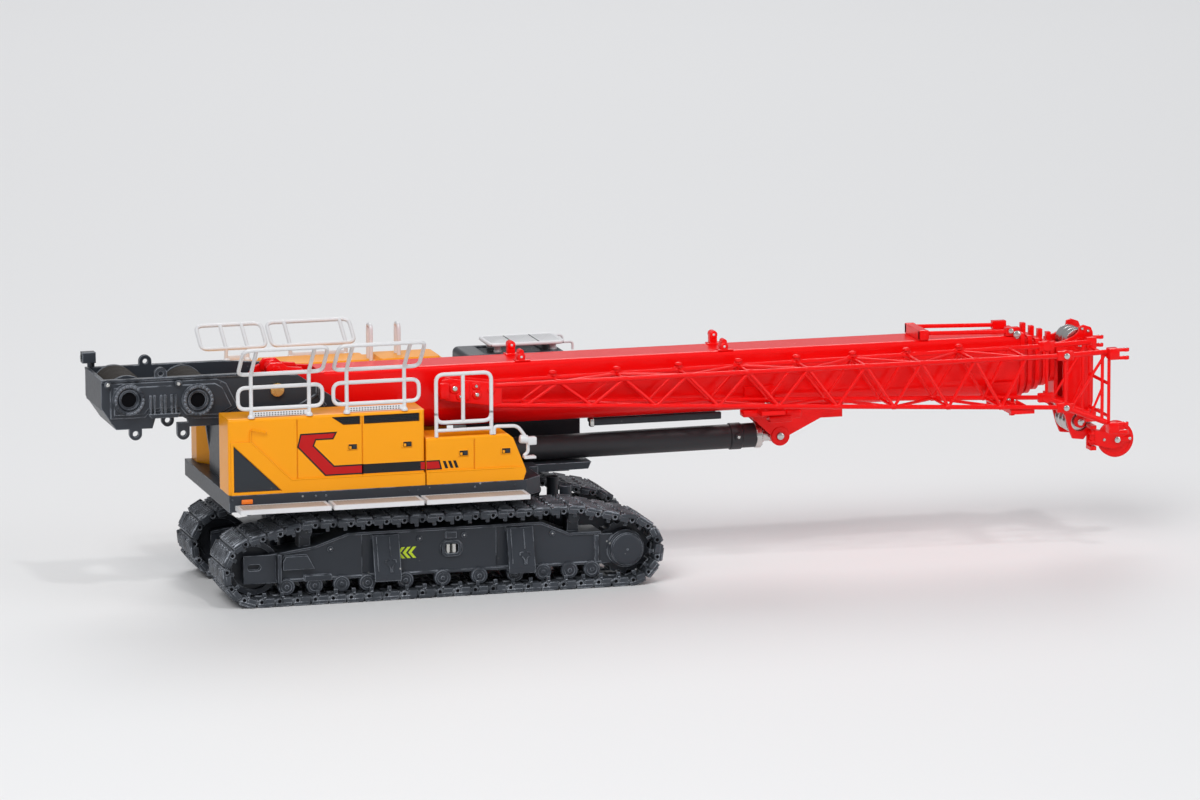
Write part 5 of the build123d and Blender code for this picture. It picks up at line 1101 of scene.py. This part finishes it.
class CRANE_OT_head_fittings(bpy.types.Operator):
    """Make the boom head's pins and bolts, the swinging bracket's hinge, and the small sheave's nut and ribs"""
    bl_idname = "crane.head_fittings"
    bl_label = "Head fittings"

    def execute(self, context):
        plated = []
        for side in (RIGHT, LEFT):
            out = (0, side, 0)
            for x, z, radius in ((194.6, 58.2, 0.95), (195.0, 35.2, 1.0), (191.2, 40.0, 0.6)):
                plated.append(knob(radius, 0, 0.45, 0.6, radius * 0.7, (x, side * 6.35, z), out, 20))
            plated.append(bolts([(197.1, side * 6.0, 61.7), (195.3, side * 6.0, 62.4)], out, 0.45, 0.4, 12))
            plated.append(bolts([(197.6, side * 6.0, z) for z in (43.0, 47.5, 52.0)], out, 0.32, 0.3))
        put("head_fittings", "boom_5", "bare_steel", plated_steel=plated)
        low, high = cad_box("rooster_sheave")
        centre, radius = (low + high) / 2, (high[0] - low[0]) / 2
        screws = [ROOSTER_NUT + (3.9 * cos(turn), 0.15, 3.9 * sin(turn)) for turn in (0.05, 3.1)]
        nut = [knob(0.9, 0, 0.5, 0.6, 0.7, ROOSTER_NUT, (0, -1, 0)), bolts(screws, (0, -1, 0), 0.45, 0.35, 10)]
        arm = [barrel(0.5, 1.35, 0.15, 1.1, (HINGE_X, centre[1], z), Z_AXIS, 24) for z in (29.7, 32.1)]
        arm.append(block((205.0, 209.2), (centre[1] - 1.75, centre[1] - 1.2), (29.4, 30.8), 0.2))
        put("rooster_nut", "rooster_arm", "bare_steel", plated_steel=nut, boom_red=arm)
        ribs = []
        for side in (RIGHT, LEFT):
            hub = centre + (0, side * (high[1] - low[1]) / 2, 0)
            ribs.append(ring_of(0.80 * radius, 0.95 * radius, -0.05, 0.12, hub, (0, side, 0), 48, 0.05))
            for turn in 0.3 + np.arange(5) * 2 * pi / 5:
                ray = np.array([cos(turn), 0, sin(turn)])
                ribs.append(tube([hub + ray * reach for reach in (1.0, 0.82 * radius)], 0.14, 6))
        put("rooster_ribs", "rooster_wheel", "red_paint", boom_red=ribs)
        return {"FINISHED"}


# ==== cab ======================================================================================
GUARD_BAYS, BAR = (24.0, 31.6, 39.1, 46.7), 0.16        # X of the bars, and half their width
DOOR = ((26.6, 28.6), (46.9, 28.6), (46.9, 44.5), (44.6, 59.2), (26.6, 59.2))
DOOR_HANDLE = ((28.2, -0.1), (28.2, 0.75), (31.4, 0.75), (31.4, -0.1))      # X, and how far out from the door


class CRANE_OT_cab_fittings(bpy.types.Operator):
    """Make the cab's roof guard, front handrails, wiper, door seam, handle and hinges"""
    bl_idname = "crane.cab_fittings"
    bl_label = "Cab fittings"

    def execute(self, context):
        low, high = cad_box("cab_guard")
        (x0, y0, _), (x1, y1, top) = low + 0.65, high - 0.65
        rim = [(x, y, top) for x, y in rectangle(x0, x1, y0, y1)]
        silver = [tube(bent(rim, 2.0, closed=True, steps=7), 0.55, 12, closed=True)]
        # mesh in three bays between two bars, over a dark sheet
        mesh = []
        for rear, front in zip(GUARD_BAYS[:-1], GUARD_BAYS[1:]):
            bay = max(rear + BAR, x0), min(front - BAR, x1)
            mesh.append(block(bay, (y0, y1), (top - 0.1, top + 0.3), 0.1))
            mesh += [tube([(x, y0 + 0.7, top + 0.3), (x, y1 - 0.7, top + 0.3)], 0.14, 5)
                     for x in np.arange(rear + 1.1, front - 0.7, 0.7)]
        dark = [block((x0, x1), (y0, y1), (top - 0.3, top - 0.08), 0.05)]
        dark += [block(around(x, BAR), (y0 - 0.2, y1 + 0.2), (top - 0.1, top + 0.4), 0.04)
                 for x in GUARD_BAYS[1:3]]
        # short handrails in front of the guard, and its four feet
        for y in (y0 + 1.0, y1 - 1.0):
            handrail = upright([(x1 - 0.2, top - 0.2), (48.9, top - 0.2), (48.9, 60.5)], y)
            silver.append(tube(bent(handrail, 0.9), 0.34, 10))
        for x in (x0 + 2.6, x1 - 2.6):
            for y in (y0 + 2.4, y1 - 2.4):
                silver.append(turned([(0, 1.15), (0.3, 1.25), (0.6, 1.0), (top - low[2], 1.0)], (x, y, low[2]),
                                     Z_AXIS, 18))
        # door on the outer side: seam, two hinges at its front edge and a handle at its rear edge
        outer = cad_box("cab_shell")[1][1]
        black = [tube(bent(upright(DOOR, outer), 0.9, closed=True), 0.13, 6, closed=True)]
        black += [barrel(0.9, 0.48, 0.15, 0.35, (47.3, outer + 0.15, z), Z_AXIS, 12) for z in (32.0, 40.6)]
        silver.append(tube(bent([(x, outer + reach, 41.2) for x, reach in DOOR_HANDLE], 0.3), 0.22, 8))
        # wiper on the sloping windscreen
        black.append(tube([(50.75, 19.5, 44.6), (49.35, 21.0, 50.9)], 0.2, 8))
        black.append(tube([(50.35, 20.8, 47.0), (48.15, 21.2, 55.6)], 0.24, 8))
        black.append(knob(0.55, -0.4, 0.4, 0.5, 0.3, (50.5, 19.5, 44.6), (1, 0, 0.25), 14))
        put("cab_door_trim", "upper", "dark_paint", seat_black=black)
        put("cab_roof_guard", "upper", "silver_paint", ("cab_guard",), rail_silver=silver, guard_mesh=mesh,
            panel_grey=dark)
        return {"FINISHED"}


# ==== stage ====================================================================================
FLOOR_REACH = 9000.0                            # half the floor's side, in millimetres
FADE_START, FADE_END = 1.6, 4.5                 # metres from the middle between which the floor fades away
BACKGROUND, AMBIENT = (0.70, 0.71, 0.72), (0.93, 0.95, 1.0)
AMBIENT_STRENGTH = 0.36
LIT_SPOT = np.array([0.05, 0.0, 0.04])
# each lamp: its name, place, width and share of the key's strength
LAMPS = (("key", (-0.9, -1.3, 1.5), 1.1, 8), ("fill", (1.7, -1.4, 0.8), 1.3, 3), ("back", (0.4, 1.5, 1.3), 1.2, 4),
         ("spark", (0.2, -1.0, 1.7), 0.14, 1.6))


class CraneStage(bpy.types.PropertyGroup):
    """Floor, light and camera of the product view."""
    floor: bpy.props.FloatVectorProperty(name="Floor", description="Colour of the floor",
                                         default=(0.80, 0.80, 0.80), size=3, subtype="COLOR", min=0, max=1)
    key: bpy.props.FloatProperty(name="Key light", description="Strength of the large light on the left",
                                 default=3.0, min=0, unit="POWER")
    azimuth: bpy.props.FloatProperty(name="Azimuth", description="Where the camera looks, from +Y towards +X",
                                     default=radians(15.384), subtype="ANGLE")
    elevation: bpy.props.FloatProperty(name="Elevation", description="How far the camera looks down",
                                       default=radians(10.349), subtype="ANGLE")
    roll: bpy.props.FloatProperty(name="Roll", description="Turn of the camera about its own line of sight",
                                  default=radians(-0.23), subtype="ANGLE")
    lens: bpy.props.FloatProperty(name="Lens", description="Focal length on a 36 mm wide sensor, in millimetres",
                                  default=218.55, min=10, subtype="DISTANCE_CAMERA")
    place: bpy.props.FloatVectorProperty(name="Place", description="Where the camera stands",
                                         default=(-0.4857, -1.9586, 0.4189), size=3, unit="LENGTH", precision=4)


def stand(scene, name, data, right, up, ahead, place):
    """Stands a camera or a lamp in the scene: its matrix has its axes and its place as columns."""
    thing = bpy.data.objects.new(name, data)
    matrix = np.eye(4)
    matrix[:3] = np.stack([right, up, -ahead, place], axis=1)
    thing.matrix_world = Matrix(matrix.tolist())
    scene.collection.objects.link(thing)
    return thing


class CRANE_OT_stage(bpy.types.Operator):
    """Make the camera, the pale floor and background, and the soft studio lights"""
    bl_idname = "crane.stage"
    bl_label = "Stage"

    def execute(self, context):
        scene, settings = context.scene, context.scene.crane_stage
        scene.view_settings.view_transform = "Standard"
        self.camera(scene, settings)
        self.floor(scene, settings)
        self.background(scene)
        self.lights(scene, settings)
        return {"FINISHED"}

    def camera(self, scene, settings):
        """The camera's axes from its azimuth, elevation and roll."""
        az, el, roll = settings.azimuth, settings.elevation, settings.roll
        ahead = np.array([sin(az) * cos(el), cos(az) * cos(el), -sin(el)])
        level = np.array([cos(az), -sin(az), 0.0])
        over = np.cross(level, ahead)
        data = bpy.data.cameras.new("view")
        data.lens, data.sensor_width, data.clip_end = settings.lens, 36.0, 50.0
        scene.camera = stand(scene, "view", data, level * cos(roll) + over * sin(roll),
                             over * cos(roll) - level * sin(roll), ahead, settings.place)

    def floor(self, scene, settings):
        """A flat floor, a grid of straight lines in X and Y, that fades into the background far from the model
        and is clear from below."""
        reach = np.linspace(-FLOOR_REACH, FLOOR_REACH, 9)
        y, x = np.meshgrid(reach, reach, indexing="ij")
        points, faces = sheet_of(np.stack([x, y, np.zeros_like(x)], axis=-1))
        mesh = bpy.data.meshes.new("floor")
        mesh.from_pydata((points * MM).tolist(), [], faces)
        material, nodes, shader = new_material("studio_floor")
        nodes.give(shader.inputs, {"Base Color": rgba(settings.floor), "Roughness": 0.55,
                                   "Specular IOR Level": 0.25})
        far = nodes.add("VectorMath", {"operation": "LENGTH"}, _0=nodes.where())["Value"]
        from_above = nodes.math("SUBTRACT", 1.0, nodes.add("NewGeometry")["Backfacing"])
        solid = nodes.times(nodes.ramp(far, FADE_END, FADE_START), from_above)
        self.show(nodes, "Material Output", solid, nodes.add("BsdfTransparent")[0], shader.outputs[0])
        mesh.materials.append(material)
        floor = bpy.data.objects.new("floor", mesh)
        scene.collection.objects.link(floor)

    def background(self, scene):
        """A world of soft light all round, which the camera itself sees as a pale plain background."""
        scene.world = bpy.data.worlds.new("studio")
        scene.world.use_nodes = True
        nodes = Nodes(scene.world.node_tree)
        ambient = nodes.tree.nodes["Background"]
        nodes.give(ambient.inputs, {"Color": rgba(AMBIENT), "Strength": AMBIENT_STRENGTH})
        pale = nodes.add("Background", Color=rgba(BACKGROUND), Strength=1.0)
        self.show(nodes, "World Output", nodes.add("LightPath")["Is Camera Ray"], ambient.outputs[0], pale[0])

    def show(self, nodes, output, share, one, two):
        """Puts out one shader where the share is 0 and the other where it is 1."""
        mixed = nodes.add("MixShader", _0=share, _1=one, _2=two)
        nodes.give(nodes.tree.nodes[output].inputs, {"Surface": mixed[0]})

    def lights(self, scene, settings):
        """Three large soft lights, left, right and behind, and a small one for glints, all aimed at the model."""
        for name, place, size, share in LAMPS:
            data = bpy.data.lights.new(name, "AREA")
            data.shape, data.size, data.energy = "DISK", size, settings.key * share
            ahead = LIT_SPOT - place
            ahead /= np.linalg.norm(ahead)
            right = np.cross(ahead, Z_AXIS)
            right /= np.linalg.norm(right)
            stand(scene, name, data, right, np.cross(right, ahead), ahead, place)


# ==== the add-on ===============================================================================
STEPS = (CRANE_OT_stage, CRANE_OT_finishes, CRANE_OT_track_shoes, CRANE_OT_track_fittings, CRANE_OT_hood_marks,
         CRANE_OT_walkways, CRANE_OT_rails, CRANE_OT_jib, CRANE_OT_winch_ropes, CRANE_OT_winch_fittings,
         CRANE_OT_boom_fittings, CRANE_OT_cylinder_fittings, CRANE_OT_head_fittings, CRANE_OT_cab_fittings)


class CRANE_PT_sidebar(bpy.types.Panel):
    """Lists the steps that dress the crane"""
    bl_label = "Crane model"
    bl_idname = "CRANE_PT_sidebar"
    bl_space_type = "VIEW_3D"
    bl_region_type = "UI"
    bl_category = "Crane"

    def draw(self, context):
        for step in STEPS:
            self.layout.operator(step.bl_idname)
        for group in GROUPS:
            settings = getattr(context.scene, group)
            for key in settings.__annotations__:
                self.layout.prop(settings, key)


GROUPS = {"crane_stage": CraneStage, "crane_colours": CraneColours, "crane_track": CraneTrack,
          "crane_rails": CraneRails, "crane_jib": CraneJib}
CLASSES = (*GROUPS.values(), *STEPS, CRANE_PT_sidebar)


def register():
    for cls in CLASSES:
        bpy.utils.register_class(cls)
    for name, group in GROUPS.items():
        setattr(bpy.types.Scene, name, bpy.props.PointerProperty(type=group))


def unregister():
    for name in GROUPS:
        delattr(bpy.types.Scene, name)
    for cls in reversed(CLASSES):
        bpy.utils.unregister_class(cls)


def main():
    """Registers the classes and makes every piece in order."""
    register()
    for step in STEPS:
        family, action = step.bl_idname.split(".")
        getattr(getattr(bpy.ops, family), action)()


if __name__ == "__main__":
    main()
